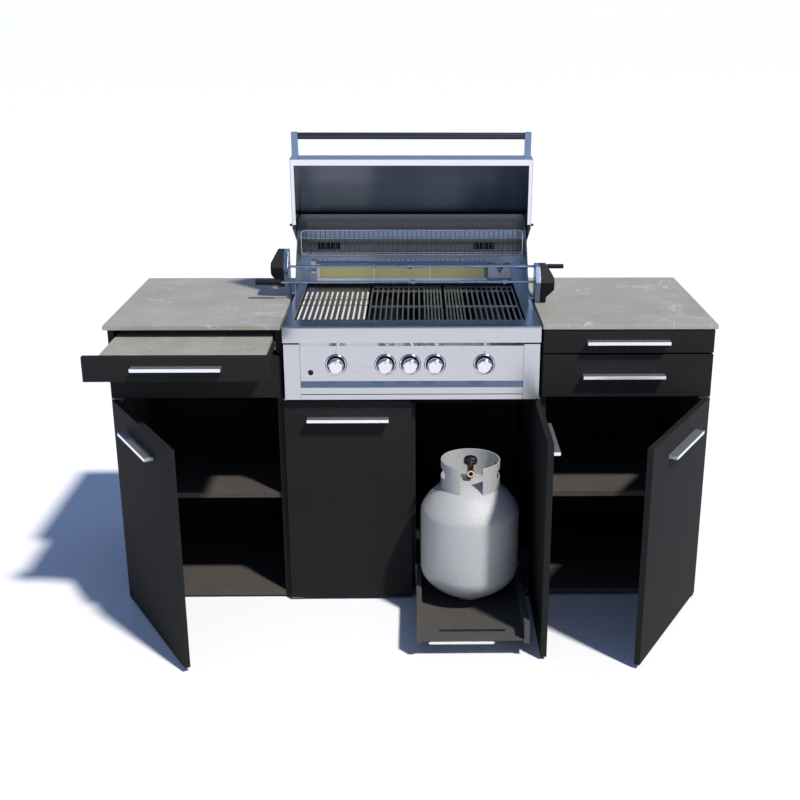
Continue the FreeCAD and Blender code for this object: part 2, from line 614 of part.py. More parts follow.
def revolution(name, outline):
    """A body turned about z from an outline of (radius, z) corners."""
    body = doc.addObject("PartDesign::Body", name)
    drawing = new_sketch(body, name + "_outline", "XZ_Plane", 0)
    draw_outline(drawing, outline)
    feature = body.newObject("PartDesign::Revolution", name + "_turn")
    feature.Profile = drawing
    feature.ReferenceAxis = (drawing, ["V_Axis"])
    feature.Angle = 360
    return body


def rectangle(low, high):
    """The four corners of a rectangle between two opposite ones."""
    return [(low[0], low[1]), (high[0], low[1]), (high[0], high[1]), (low[0], high[1])]


def dress_edges(body, name, kind, size_path, amount, chosen):
    """Fillet or chamfer the edges of the body's tip whose ends both pass the test."""
    doc.recompute()
    tip = body.Tip
    names = []
    for index, edge in enumerate(tip.Shape.Edges):
        if all(chosen(vertex.Point) for vertex in edge.Vertexes):
            names.append("Edge%d" % (index + 1))
    feature = body.newObject(kind, name)
    feature.Base = (tip, names)
    bind(feature, size_path, amount)
    return feature


def near(value, target):
    return abs(value - number_of(target)) < 0.01


nodes = []


def node(label, solids, base=(0, 0, 0), axis=None, angle=None):
    """A sub-part: its solids under one label, moved to base and turned about axis by angle."""
    moved = axis is not None or any(number_of(value) for value in base)
    part = solids[0]
    if len(solids) > 1 or moved:
        part = doc.addObject("Part::Compound", label)
        part.Links = solids
    part.Label = label
    if axis is not None:
        part.Placement.Rotation = FreeCAD.Rotation(FreeCAD.Vector(*axis), number_of(angle))
        part.setExpression("Placement.Rotation.Angle", "(%s) * 1 deg" % formula_of(angle))
    if moved:
        for letter, place in zip("xyz", base):
            bind(part, "Placement.Base." + letter, place)
    nodes.append(part)


# Carcass

def build_carcass():
    depth = (carcass_front, carcass_back)
    ends = [block("end_panel", mirror(side, side_inner, side_x), depth, (foot_height, stone_under))
            for side in (-1, 1)]
    node("end_panels", ends)
    partitions = []
    for side in (-1, 1):
        partitions.append(block("bay_board", mirror(side, seam, bay_wall), depth,
                                (foot_height, stone_under)))
        partitions.append(block("centre_board", mirror(side, centre_wall, seam), depth,
                                (foot_height, support_top)))
    partitions.append(block("centre_divider", (-board / 2, board / 2), depth,
                            (floor_top, support_top - board)))
    partitions.append(block("tray_side_block", (tray_block_face, centre_wall),
                            (carcass_front + 1, carcass_front + tray_length),
                            (floor_top, floor_top + side_block_height)))
    node("partitions", partitions)
    floors = [block("side_floor", mirror(side, bay_wall, side_inner), depth, (foot_height, floor_top))
              for side in (-1, 1)]
    floors.append(block("centre_floor", (-centre_wall, centre_wall), depth, (foot_height, floor_top)))
    node("bottom_boards", floors)
    node("back_panel", [block("back_board", (-side_x, side_x), (carcass_back, back_y),
                              (foot_height, stone_under))])
    shelves = [block("shelf", mirror(side, bay_wall, side_inner),
                     (carcass_front + shelf_setback, carcass_back), (shelf_height - board, shelf_height))
               for side in (-1, 1)]
    node("shelves", shelves)
    rail_levels = (support_top - board, support_top)
    rails = [block("front_rail", (-centre_wall, centre_wall),
                   (carcass_front, carcass_front + rail_depth), rail_levels),
             block("rear_rail", (-centre_wall, centre_wall),
                   (carcass_back - rail_depth, carcass_back), rail_levels)]
    for side in (-1, 1):
        rails.append(block("stone_strip", mirror(side, bay_wall, side_inner),
                           (carcass_front, carcass_front + strip_depth),
                           (stone_under - strip_height, stone_under)))
    node("support_rails", rails)


def build_feet():
    feet = []
    rows = (carcass_front + foot_inset, carcass_back - foot_inset)
    columns = [side_x - foot_inset, bay_wall + foot_inset - board, seam - foot_inset + board / 2]
    places = [(side * column, row) for column in columns for side in (-1, 1) for row in rows]
    places += [(0, row) for row in rows] + [(0, 0)]
    for x, y in places:
        foot = doc.addObject("Part::Cone", "foot")
        bind(foot, "Radius1", foot_radius)
        bind(foot, "Radius2", foot_radius * 0.75)
        bind(foot, "Height", foot_height)
        bind(foot, "Placement.Base.x", x)
        bind(foot, "Placement.Base.y", y)
        feet.append(foot)
    node("levelling_feet", feet)


def build_worktops():
    half = island_width / 2
    stones = []
    for name, side in (("left_stone", -1), ("right_stone", 1)):
        low, high = mirror(side, cutout_width / 2, half)
        outline = rectangle((low, -island_depth / 2), (high, island_depth / 2))
        stone = extrusion(name, "XY_Plane", outline, stone_under, worktop_height)
        dress_edges(stone, name + "_edge", "PartDesign::Chamfer", "Size", stone_edge,
                    lambda point: near(point.z, worktop_height))
        stones.append(stone)
    node("worktops", stones)


# Doors, pivots and handles

def build_pivot_brackets():
    """Eight plates that carry the pins: under the floors, on the end panels and on the front rail."""
    brackets = []
    plate_y = (front_y + pivot_inset - pivot_radius - 1, carcass_front + bracket_depth - board)
    for side in (-1, 1):
        pins = ((side_hinge_x, side_x - 1, side_door_bottom), (centre_hinge_x, centre_door_outer - 1,
                                                              centre_door_bottom))
        for hinge_x, edge_x, door_bottom in pins:
            plate = block("lower_plate", mirror(side, edge_x - bracket_width, edge_x), plate_y,
                          (foot_height - bracket_thickness, foot_height))
            pin = rod("lower_pin", "z", (side * hinge_x, hinge_y), pivot_radius,
                      foot_height, door_bottom + pivot_depth)
            brackets += [plate, pin]
        plate_z = (side_door_top + pivot_gap, side_door_top + pivot_gap + bracket_thickness)
        front_plate = block("front_plate", mirror(side, side_x - 1 - bracket_width, side_x - 1),
                            (plate_y[0], carcass_front), plate_z)
        rear_plate = block("rear_plate", mirror(side, side_x - 1 - bracket_width, side_inner),
                           (carcass_front, plate_y[1]), plate_z)
        flange = block("flange", mirror(side, side_inner - bracket_thickness, side_inner),
                       (carcass_front, plate_y[1]), (plate_z[0] - bracket_width, plate_z[0]))
        pin = rod("upper_pin", "z", (side * side_hinge_x, hinge_y), pivot_radius,
                  side_door_top - pivot_depth, plate_z[0])
        brackets += [front_plate, rear_plate, flange, pin]
        edge_x = centre_door_outer - 1
        plate = block("rail_plate", mirror(side, edge_x - bracket_width, edge_x), plate_y,
                      (support_top, support_top + bracket_thickness))
        pin = rod("rail_pin", "z", (side * centre_hinge_x, hinge_y), pivot_radius,
                  centre_door_top - pivot_depth, support_top)
        brackets += [plate, pin]
    node("door_pivot_brackets", brackets)


def rounded_front(name, x, y, z):
    """A board whose front edges are rounded."""
    front = extrusion(name, "XY_Plane", rectangle((x[0], y[0]), (x[1], y[1])), z[0], z[1])
    dress_edges(front, name + "_rounding", "PartDesign::Fillet", "Radius", front_rounding,
                lambda point: near(point.y, y[0]))
    return front


def bar_handle(name, x_middle, z_middle, face_y):
    """A bar handle: closed on top, in front and at its ends, open below for the fingers."""
    half = handle_length / 2
    z = (z_middle - handle_height / 2, z_middle + handle_height / 2)
    bar = block(name + "_bar", (x_middle - half, x_middle + half), (face_y - handle_reach, face_y), z)
    recess = block(name + "_recess", (x_middle - half + handle_wall, x_middle + half - handle_wall),
                   (face_y - handle_reach + handle_wall, face_y - handle_wall),
                   (z[0], z[1] - handle_wall))
    return cut(name, bar, [recess])


def build_door(label, side, width, hinge_x, bottom, top, handle_drop, angle):
    """A door drawn about its own pivot axis, then swung open about it."""
    across = mirror(side, pivot_inset - width, pivot_inset)
    thick = (-pivot_inset, board - pivot_inset)
    leaf = rounded_front(label + "_leaf", across, thick, (bottom, top))
    hole = pivot_radius + pivot_clearance
    holes = [rod(label + "_lower_hole", "z", (0, 0), hole, bottom, bottom + pivot_depth + 1),
             rod(label + "_upper_hole", "z", (0, 0), hole, top - pivot_depth - 1, top)]
    place = (side * hinge_x, hinge_y, 0)
    swing = {"axis": (0, 0, side), "angle": angle}
    node(label, [cut(label + "_drilled", leaf, holes)], place, **swing)
    handle = bar_handle(label + "_bar", side * (pivot_inset - width / 2), top - handle_drop,
                        -pivot_inset)
    node(label + "_handle", [handle], place, **swing)


def build_doors():
    side_width = side_x - side_front_inner
    centre_door_width = centre_door_outer - front_joint / 2
    build_door("left_door", -1, side_width, side_hinge_x, side_door_bottom, side_door_top,
               side_handle_drop, side_door_angle)
    build_door("right_door", 1, side_width, side_hinge_x, side_door_bottom, side_door_top,
               side_handle_drop, side_door_angle)
    build_door("centre_door", -1, centre_door_width, centre_hinge_x, centre_door_bottom,
               centre_door_top, door_handle_drop, Size(0, "0"))
    build_door("gas_bay_door", 1, centre_door_width, centre_hinge_x, centre_door_bottom,
               centre_door_top, door_handle_drop, gas_door_angle)


# Drawers and the board slide

def moving_bars(name, side, height):
    """The two bars that run inside the fixed channels, one on each side of a drawer."""
    z_gap = runner_wall + runner_gap
    z = (height - runner_height / 2 + z_gap, height + runner_height / 2 - z_gap)
    y = (front_back, front_back + drawer_length)
    reach = drawer_side_gap - runner_web - runner_gap
    inner = mirror(side, bay_wall + runner_web + runner_gap, bay_wall + runner_web + runner_gap + reach)
    outer = mirror(side, side_inner - runner_web - runner_gap - reach, side_inner - runner_web - runner_gap)
    return [block(name + "_inner_bar", inner, y, z), block(name + "_outer_bar", outer, y, z)]


def drawer_walls(name, side, z, floor):
    """Two sides and a back, and a floor between them where the drawer has one."""
    x = mirror(side, bay_wall + drawer_side_gap, side_inner - drawer_side_gap)
    y = (front_back, front_back + drawer_length)
    inside = (x[0] + drawer_side, x[1] - drawer_side)
    walls = [block(name + "_left", (x[0], inside[0]), y, z),
             block(name + "_right", (inside[1], x[1]), y, z),
             block(name + "_back", inside, (y[1] - drawer_side, y[1]), z)]
    if floor:
        walls.append(block(name + "_floor", inside, (y[0], y[1] - drawer_side),
                           (z[0], z[0] + drawer_floor)))
    return walls


def build_drawer(label, side, front_z, box_z, runner, handle_z, handle_shift):
    front_x = mirror(side, side_front_inner, side_x)
    front = rounded_front(label + "_board", front_x, (front_y, front_back), front_z)
    node(label + "_front", [front])
    walls = drawer_walls(label, side, box_z, floor=True) + moving_bars(label, side, runner)
    node(label + "_box", walls)
    middle = side * ((side_front_inner + side_x) / 2 + handle_shift)
    node(label + "_handle", [bar_handle(label + "_bar", middle, handle_z, front_y)])


def build_drawers():
    lower_front = (lower_front_bottom, lower_front_top)
    lower_box = (lower_box_bottom, lower_box_bottom + lower_box_height)
    lower_handle = lower_front_top - lower_handle_drop
    upper_box = (upper_box_bottom, upper_box_bottom + upper_box_height)
    build_drawer("left_drawer", -1, lower_front, lower_box, lower_runner_height, lower_handle,
                 lower_handle_shift)
    build_drawer("right_lower_drawer", 1, lower_front, lower_box, lower_runner_height, lower_handle,
                 lower_handle_shift)
    build_drawer("right_upper_drawer", 1, (upper_front_bottom, upper_front_top), upper_box,
                 upper_runner_height, upper_front_top - upper_handle_drop, upper_handle_shift)


def build_board_slide():
    """A stone chopping board on a frame that slides out of the left cabinet."""
    out = (0, -board_slide_out, 0)
    front = rounded_front("slide_front_board", (-side_x, -side_front_inner), (front_y, front_back),
                          (upper_front_bottom, upper_front_top))
    node("board_slide_front", [front], out)
    frame = drawer_walls("slide", -1, (slide_frame_top - slide_frame_height, slide_frame_top), floor=False)
    frame += moving_bars("slide", -1, upper_runner_height)
    node("board_slide_frame", frame, out)
    stone = block("slide_stone", (-side_inner + chopping_board_gap, -bay_wall - chopping_board_gap),
                  (front_back, front_back + drawer_length),
                  (slide_frame_top, slide_frame_top + chopping_board_thickness))
    node("chopping_board", [stone], out)
    middle = -((side_front_inner + side_x) / 2 + upper_handle_shift)
    handle_z = upper_front_top - slide_handle_drop
    node("board_slide_handle", [bar_handle("slide_bar", middle, handle_z, front_y)], out)


def channel(name, side, wall, inward, height, y, depth, tall):
    """A fixed runner channel: its web on the wall, its flanges reaching inward."""
    z = (height - tall / 2, height + tall / 2)
    tip = wall + inward * depth
    web = wall + inward * runner_web
    x = (wall, tip) if inward > 0 else (tip, wall)
    hollow = (web, tip) if inward > 0 else (tip, web)
    outside = block(name + "_outside", mirror(side, *x), y, z)
    inside = block(name + "_inside", mirror(side, *hollow), y, (z[0] + runner_wall, z[1] - runner_wall))
    return cut(name, outside, [inside])


def build_runners():
    y = (carcass_front + 1, carcass_front + drawer_length)
    channels = []
    for side in (-1, 1):
        for height in (lower_runner_height, upper_runner_height):
            for wall, inward in ((bay_wall, 1), (side_inner, -1)):
                channels.append(channel("runner", side, wall, inward, height, y, runner_depth,
                                        runner_height))
    tall = tray_rail_height + 2 * (runner_wall + runner_gap)
    middle = tray_rail_bottom + tray_rail_height / 2
    y = (carcass_front + 1, carcass_front + tray_length)
    depth = runner_web + runner_gap + tray_channel_lap
    channels.append(channel("tray_runner", 1, board / 2, 1, middle, y, depth, tall))
    channels.append(channel("tray_runner", 1, tray_block_face, -1, middle, y, depth, tall))
    node("runner_channels", channels)


# Gas tray, bottle and valve

def build_gas_tray():
    x = (tray_centre_x - tray_width / 2, tray_centre_x + tray_width / 2)
    y = (-tray_front, tray_length - tray_front)
    z = (tray_floor_top - tray_floor_thickness, tray_floor_top)
    plate = block("tray_plate", x, y, z)
    slot_half = (tray_slot_length - tray_slot_width) / 2
    slot_y = y[0] + tray_slot_setback
    radius = tray_slot_width / 2
    slot = [block("tray_slot", (tray_centre_x - slot_half, tray_centre_x + slot_half),
                  (slot_y - radius, slot_y + radius), z)]
    for end in (-1, 1):
        slot.append(rod("tray_slot_end", "z", (tray_centre_x + end * slot_half, slot_y), radius, *z))
    floor = cut("tray_floor", plate, slot)
    rail_z = (tray_rail_bottom, tray_rail_bottom + tray_rail_height)
    rails = [block("tray_rail", (x[0] - tray_rail_width, x[0]), y, rail_z),
             block("tray_rail", (x[1], x[1] + tray_rail_width), y, rail_z)]
    node("gas_tray", [floor] + rails, (0, -tray_out, 0))


def build_bottle():
    out = (tray_centre_x, bottle_setback - tray_front - tray_out, tray_floor_top)
    radius = bottle_radius
    lower = bottle_lower_dome
    shoulder = bottle_shoulder
    crown = shoulder + bottle_upper_dome

    def head(width, rise, knuckle):
        """Radius of a dome's crown, and where the crown meets the rounding (radius, rise)."""
        inset = width - knuckle
        crown_radius = (inset * inset + rise * rise - knuckle * knuckle) / (2 * (rise - knuckle))
        share = knuckle / (crown_radius - knuckle)
        return crown_radius, inset + inset * share, (crown_radius - rise) * share

    def vessel(name, wall):
        width = radius - wall
        low = dome_depth - wall
        high = bottle_upper_dome - wall
        low_turn = lower_knuckle - wall
        high_turn = upper_knuckle - wall
        low_crown, low_r, low_z = head(width, low, low_turn)
        high_crown, high_r, high_z = head(width, high, high_turn)
        return revolution(name, [(0, lower - low, low_crown, 1), (low_r, lower - low_z, low_turn, 1),
                                 (width, lower), (width, shoulder, high_turn, 1),
                                 (high_r, shoulder + high_z, high_crown, 1), (0, shoulder + high)])

    body = vessel("bottle_outside", 0)
    neck = rod("bottle_neck", "z", (0, 0), valve_radius - 4, crown - 10, crown)
    shell = cut("bottle_shell", body, [vessel("bottle_inside", bottle_wall), neck])
    ring = tube("foot_ring", "z", (0, 0), foot_ring_radius, foot_ring_radius - bottle_wall,
                0, foot_ring_height)
    trimmed_ring = cut("foot_ring_under_body", ring, [body])
    collar = tube("collar_ring", "z", (0, 0), collar_radius, collar_radius - bottle_wall,
                  collar_bottom, bottle_height)
    mouth = block("collar_mouth", (-collar_opening / 2, collar_opening / 2), (-collar_radius, 0),
                  (collar_bottom, bottle_height))
    end = (hand_hole_length - hand_hole_height) / 2
    middle = hand_hole_bottom + hand_hole_height / 2
    hand_holes = [block("hand_hole", (-collar_radius, collar_radius), (-end, end),
                        (hand_hole_bottom, hand_hole_bottom + hand_hole_height))]
    for side in (-1, 1):
        hand_holes.append(rod("hand_hole_end", "x", (side * end, middle), hand_hole_height / 2,
                              -collar_radius, collar_radius))
    trimmed_collar = cut("bottle_collar_ring", collar, [mouth, body] + hand_holes)
    node("gas_bottle", [shell, trimmed_ring], out)
    node("bottle_collar", [trimmed_collar], out)
    stem = rod("valve_stem", "z", (0, 0), valve_radius, crown - 2, valve_top)
    outlet = rod("valve_outlet", "y", (0, outlet_height), outlet_radius, -outlet_length, 0)
    bore = rod("outlet_bore", "y", (0, outlet_height), outlet_bore, -outlet_length,
               -valve_radius - 1)
    socket = rod("spindle_bore", "z", (0, 0), spindle_radius + running_fit,
                 valve_top - spindle_depth - 1, valve_top)
    node("bottle_valve", [cut("valve_body", fuse("valve_blank", [stem, outlet]),
                              [bore, socket, body])], out)
    wheel_z = valve_top + 4
    rim_z = wheel_z + handwheel_rim
    dome_radius = (handwheel_radius * handwheel_radius + handwheel_dome * handwheel_dome) / (2 * handwheel_dome)
    wheel = revolution("wheel", [(0, wheel_z), (handwheel_radius, wheel_z),
                                 (handwheel_radius, rim_z, dome_radius, 1), (0, rim_z + handwheel_dome)])
    spindle = rod("spindle", "z", (0, 0), spindle_radius, valve_top - spindle_depth, wheel_z + 1)
    node("valve_handwheel", [fuse("wheel_and_spindle", [wheel, spindle])], out)


# Barbecue: deck, firebox and front

def build_deck():
    r = lip_rounding
    back = rear_wall_y + panel_metal
    under = deck_top - sheet_metal
    outline = [(-lip_front, deck_top - lip_height), (-lip_front, deck_top - r, r, -1),
               (r - lip_front, deck_top), (back, deck_top), (back, under),
               (sheet_metal - lip_front, under), (sheet_metal - lip_front, deck_top - lip_height)]
    plate = extrusion("deck_plate", "YZ_Plane", outline, -lip_half, lip_half)
    opening = block("grill_opening", (-grill_left, grill_right), (-grill_front, rear_wall_y),
                    (under, deck_top))
    skirts = [block("deck_skirt", mirror(side, lip_half - sheet_metal, lip_half),
                    (sheet_metal - lip_front, carcass_back), (deck_top - lip_height, under))
              for side in (-1, 1)]
    node("barbecue_deck", [cut("deck", plate, [opening])] + skirts)


def build_firebox():
    x = (-grill_left, grill_right)
    y = (-grill_front, rear_wall_y)
    metal = panel_metal
    wall_z = (firebox_floor + metal, deck_top - sheet_metal)
    front = block("firebox_front", (x[0] - metal, x[1] + metal), (y[0] - metal, y[0]), wall_z)
    holes = [rod("nozzle_hole", "y", (centre, burner_height), manifold_radius, y[0] - metal, y[0])
             for centre in burner_centres]
    solids = [cut("firebox_front_wall", front, holes),
              block("firebox_back", (x[0] - metal, x[1] + metal), (y[1], y[1] + metal), wall_z),
              block("firebox_left", (x[0] - metal, x[0]), y, wall_z),
              block("firebox_right", (x[1], x[1] + metal), y, wall_z)]
    floor = block("firebox_floor_plate", (x[0] - metal, x[1] + metal), (y[0] - metal, y[1] + metal),
                  (firebox_floor, firebox_floor + metal))
    drain = block("drain_slot", (-grease_half + drip_slot_width, grease_half - drip_slot_width),
                  (-drip_slot_width / 2, drip_slot_width / 2), (firebox_floor, firebox_floor + metal))
    solids.append(cut("firebox_floor", floor, [drain]))
    for top in (grill_top - grill_thickness, tamer_height):
        for near_y, far_y in ((y[0], y[0] + ledge_depth), (y[1] - ledge_depth, y[1])):
            solids.append(block("ledge", x, (near_y, far_y), (top - ledge_height, top)))
    for foot_x in ((x[0], x[0] + firebox_foot_width), (x[1] - firebox_foot_width, x[1])):
        for foot_y in ((y[0], y[0] + front_foot_depth), (y[1] - rear_foot_depth, y[1])):
            solids.append(block("firebox_foot", foot_x, foot_y, (support_top, firebox_floor)))
    for side in (-1, 1):
        solids.append(block("grease_tray_guide", mirror(side, grease_half - 30, grease_half - 10),
                            (carcass_front, carcass_back), (support_top, support_top + grease_guide)))
    node("firebox", solids)


def build_front_panel():
    """The control panel between two pillars, with a ring behind each knob."""
    face = -panel_face
    sill = face - panel_recess
    metal = panel_metal
    panel_top = panel_bottom + panel_height
    lip_bottom = deck_top - lip_height
    upper_bevel = lip_bottom - upper_bevel_height
    outline = [(sill, panel_bottom), (sill, bevel_bottom), (face, bevel_top), (face, upper_bevel),
               (sill, lip_bottom), (sill, panel_top), (sill + metal, panel_top),
               (sill + metal, lip_bottom + 0.5), (face + metal, upper_bevel + 0.5),
               (face + metal, bevel_top + 0.5), (sill + metal, bevel_bottom + 0.5),
               (sill + metal, panel_bottom + metal), (sill + 25, panel_bottom + metal),
               (sill + 25, panel_bottom)]
    blank = extrusion("panel_sheet", "YZ_Plane", outline, -pillar_inner, pillar_inner)
    holes = [rod("knob_hole", "y", (centre, knob_height), knob_hole_radius, face, face + metal)
             for centre in knob_centres]
    bore = igniter_radius + running_fit
    holes.append(rod("igniter_hole", "y", (-igniter_x, igniter_height), bore, face, face + metal))
    solids = [cut("control_panel_sheet", blank, holes)]
    for centre in knob_centres:
        solids.append(tube("bezel", "y", (centre, knob_height), bezel_radius, knob_hole_radius,
                           face - bezel_depth, face))
    solids.append(tube("igniter_sleeve", "y", (-igniter_x, igniter_height), bore + igniter_sleeve, bore,
                       face + metal, face + metal + igniter_sleeve_length))
    for side in (-1, 1):
        y = (-pillar_face, pillar_depth - pillar_face)
        fascia_top = fascia_bottom + fascia_height
        shell = block("pillar_shell", mirror(side, pillar_inner, pillar_outer), y,
                      (fascia_bottom, fascia_top))
        hollow = block("pillar_hollow", mirror(side, pillar_inner + metal, pillar_outer - metal),
                       (y[0] + metal, y[1]), (fascia_bottom + metal, fascia_top - metal))
        solids.append(cut("pillar", shell, [hollow]))
        solids.append(block("pillar_plate", mirror(side, pillar_outer - 4, pillar_outer - metal),
                            (y[1], y[1] + 100), (fascia_bottom, deck_top - sheet_metal)))
    node("control_panel", solids)


def build_controls():
    """Knobs, igniter, gas manifold and valves."""
    back = -panel_face - bezel_depth - knob_gap
    face = back - knob_depth
    valve_back = manifold_radius + 2 - manifold_y
    valve_front = -panel_face + 7
    for index, centre in enumerate(knob_centres):
        disc = rod("knob_disc", "y", (centre, knob_height), knob_radius, face, back)
        pointer = block("knob_pointer", (centre - pointer_width / 2, centre + pointer_width / 2),
                        (face, face + pointer_depth),
                        (knob_height + knob_radius - pointer_length, knob_height + knob_radius))
        shaft = rod("knob_shaft", "y", (centre, knob_height), knob_shaft_radius, back,
                    valve_front + knob_shaft_depth)
        node("knob_%d" % (index + 1), [cut("knob", fuse("knob_blank", [disc, shaft]), [pointer])])
    button_front = -panel_face - igniter_reach
    node("igniter_button", [rod("igniter", "y", (-igniter_x, igniter_height), igniter_radius,
                                button_front, button_front + igniter_length)])
    pieces = [rod("manifold_tube", "x", (-manifold_y, knob_height), manifold_radius, -manifold_half,
                  manifold_half)]
    bores = []
    for centre in knob_centres:
        pieces.append(rod("gas_valve", "y", (centre, knob_height), valve_body_radius, valve_front,
                          valve_back))
        bores.append(rod("shaft_bore", "y", (centre, knob_height), knob_shaft_radius + running_fit,
                         valve_front, valve_front + knob_shaft_depth + 1))
    firebox_face = -grill_front - panel_metal
    for centre in burner_centres:
        pieces.append(rod("nozzle", "y", (centre, burner_height), manifold_radius - 3, -manifold_y,
                          firebox_face + 7))
    for side in (-1, 1):
        place = side * manifold_half * 0.55
        pieces.append(block("manifold_bracket", (place - 8, place + 8), (-manifold_y, firebox_face),
                            (knob_height - 6, knob_height + 6)))
    node("gas_manifold", [cut("manifold", fuse("manifold_blank", pieces), bores)])


# Barbecue: burners and grills

def build_burners():
    tubes = [tube("main_burner", "y", (centre, burner_height), burner_radius,
                  burner_radius - burner_wall, -grill_front, rear_wall_y) for centre in burner_centres]
    node("main_burners", tubes)
    tamers = []
    metal = 2
    for centre in burner_centres:
        left = centre - tamer_width / 2
        right = centre + tamer_width / 2
        ridge = tamer_height + tamer_rise
        outline = [(left, tamer_height), (left + 3, tamer_height), (centre, ridge - metal),
                   (right - 3, tamer_height), (right, tamer_height), (centre, ridge)]
        tamers.append(extrusion("flame_tamer", "XZ_Plane", outline, grill_gap - grill_front,
                                rear_wall_y - grill_gap))
    node("flame_tamers", tamers)


def grate(name, side):
    """Bars along y, close together near the joint, tied by cross bars."""
    y = (grill_gap - grill_front, rear_wall_y - grill_gap)
    z = (grill_top - grill_thickness, grill_top)
    first_wide = bar_start + (fine_count - 1) * fine_pitch + wide_pitch
    places = [bar_start + index * fine_pitch for index in range(int(fine_count.number))]
    places += [first_wide + index * wide_pitch for index in range(int(wide_count.number))]
    pieces = []
    for place in places:
        middle = grill_joint_x + side * place
        pieces.append(block(name + "_bar", (middle - bar_width / 2, middle + bar_width / 2), y, z))
    near_x, far_x = mirror(side, bar_start, places[-1])
    ties = [(y[0], y[0] + 6), (-cross_bar_y - 3, -cross_bar_y + 3), (y[1] - 70, y[1] - 64),
            (y[1] - 6, y[1])]
    for tie in ties:
        pieces.append(block(name + "_tie", (grill_joint_x + near_x, grill_joint_x + far_x), tie,
                            (z[0], z[1] - 1)))
    return fuse(name, pieces)


def build_grills():
    y = (grill_gap - grill_front, rear_wall_y - grill_gap)
    z = (grill_top - grill_thickness, grill_top)
    x = (grill_gap - grill_left, -slotted_right)
    plate = block("plate_blank", x, y, z)
    half = slot_rib / 2
    sections = [(-slot_front, -front_rib_y - half), (half - front_rib_y, back_rib_y - half),
                (back_rib_y + half, slot_back)]
    slots = []
    for index in range(int(slot_count.number)):
        middle = x[0] + slot_inset + index * slot_pitch
        for section in sections:
            slots.append(block("slot", (middle - slot_width / 2, middle + slot_width / 2), section, z))
    node("slotted_plate", [cut("plate", plate, slots)])
    node("cooking_grates", [grate("left_grate", -1), grate("right_grate", 1)])


# Barbecue: rear wall, rear burner and warming rack

def build_rear_housing():
    metal = panel_metal
    inner = cheek_face - metal
    blank = block("rear_wall_blank", (-inner, inner), (rear_wall_y, rear_wall_y + metal),
                  (deck_top, rear_wall_top))
    openings = []
    step = vent_height / vent_slots
    for centre in (-left_vent_x, right_vent_x):
        for index in range(int(vent_slots.number)):
            low = vent_bottom + index * step
            openings.append(block("vent_slot", (centre - vent_length / 2, centre + vent_length / 2),
                                  (rear_wall_y, rear_wall_y + metal), (low, low + step / 2)))
    solids = [cut("rear_wall", blank, openings)]
    rise = rear_wall_top - deck_top
    run = rise * cosine(cheek_slope) / sine(cheek_slope)
    outline = [(-cheek_foot_y, deck_top), (rear_wall_y + metal, deck_top),
               (rear_wall_y + metal, rear_wall_top), (run - cheek_foot_y, rear_wall_top)]
    for side in (-1, 1):
        name = "left_cheek" if side < 0 else "right_cheek"
        x = mirror(side, inner, cheek_face)
        cheek = extrusion(name, "YZ_Plane", outline, *x)
        seats = [rod(name + "_seat", "x", place, spit_radius + running_fit, *x) for place in spit_places]
        pin = rod(name + "_pin", "x", (pivot_y, pivot_z), hinge_pin_radius,
                  *mirror(side, cheek_face, hood_half + metal))
        solids += [cut(name + "_cut", cheek, seats), pin]
    solids.append(block("rear_shell", (-lip_half, lip_half), (rear_skirt_y, rear_skirt_y + metal),
                        (stone_under, rear_shell_top)))
    for side in (-1, 1):
        solids.append(block("rear_shell_side", mirror(side, lip_half - metal, lip_half),
                            (rear_wall_y + metal, rear_skirt_y), (deck_top - sheet_metal, rear_shell_top)))
    node("rear_housing", solids)


def build_rear_burner():
    x = (-rear_burner_left, rear_burner_right)
    y = (rear_wall_y - rear_burner_depth, rear_wall_y)
    z = (rear_burner_bottom, rear_burner_top)
    b = tile_border
    frame = block("burner_frame", x, y, z)
    width = (x[1] - x[0] - 4 * b) / 3
    wells = []
    tiles = []
    for index in range(3):
        left = x[0] + b + index * (width + b)
        span_z = (z[0] + b, z[1] - b)
        wells.append(block("tile_well", (left, left + width), (y[0], y[1] - 4), span_z))
        tiles.append(block("burner_tile", (left, left + width), (y[0] + tile_recess, y[1] - 4), span_z))
    start = rear_burner_right + 4
    end = start + flame_guard_width
    low = rear_burner_bottom + 16
    high = rear_burner_top - 7
    middle = (start + end) / 2
    outline = [(start, low), (end, low), (end, high), (middle + flame_guard_notch / 2, high),
               (middle, low + 14), (middle - flame_guard_notch / 2, high), (start, high)]
    guard = extrusion("guard_sheet", "XZ_Plane", outline, y[0] + 4, y[0] + 6)
    tabs = [block("guard_tab", (edge, edge + 2), (y[0] + 6, rear_wall_y), (low, high))
            for edge in (start, end - 2)]
    node("rear_burner", [cut("rear_burner_frame", frame, wells)] + tiles + [guard] + tabs)


def build_warming_rack():
    wires = [rod("rack_rail", "x", (rack_y, rack_bottom), rack_wire, rack_wall * -1, rack_wall)]
    for height in (rack_comb, rack_top):
        wires.append(rod("rack_rail", "x", (rack_y, height), rack_wire, -rack_half, rack_half))
    for side in (-1, 1):
        wires.append(rod("rack_post", "z", (side * rack_half, rack_y), rack_wire, rack_bottom, rack_top))
    count = int(2 * rack_half.number / rack_pitch.number)
    for index in range(1, count):
        place = index * rack_pitch - count * rack_pitch / 2
        wires.append(rod("rack_upright", "z", (place, rack_y), rack_thin_wire, rack_bottom, rack_top))
    node("warming_rack", [fuse("rack", wires)])


# Hood

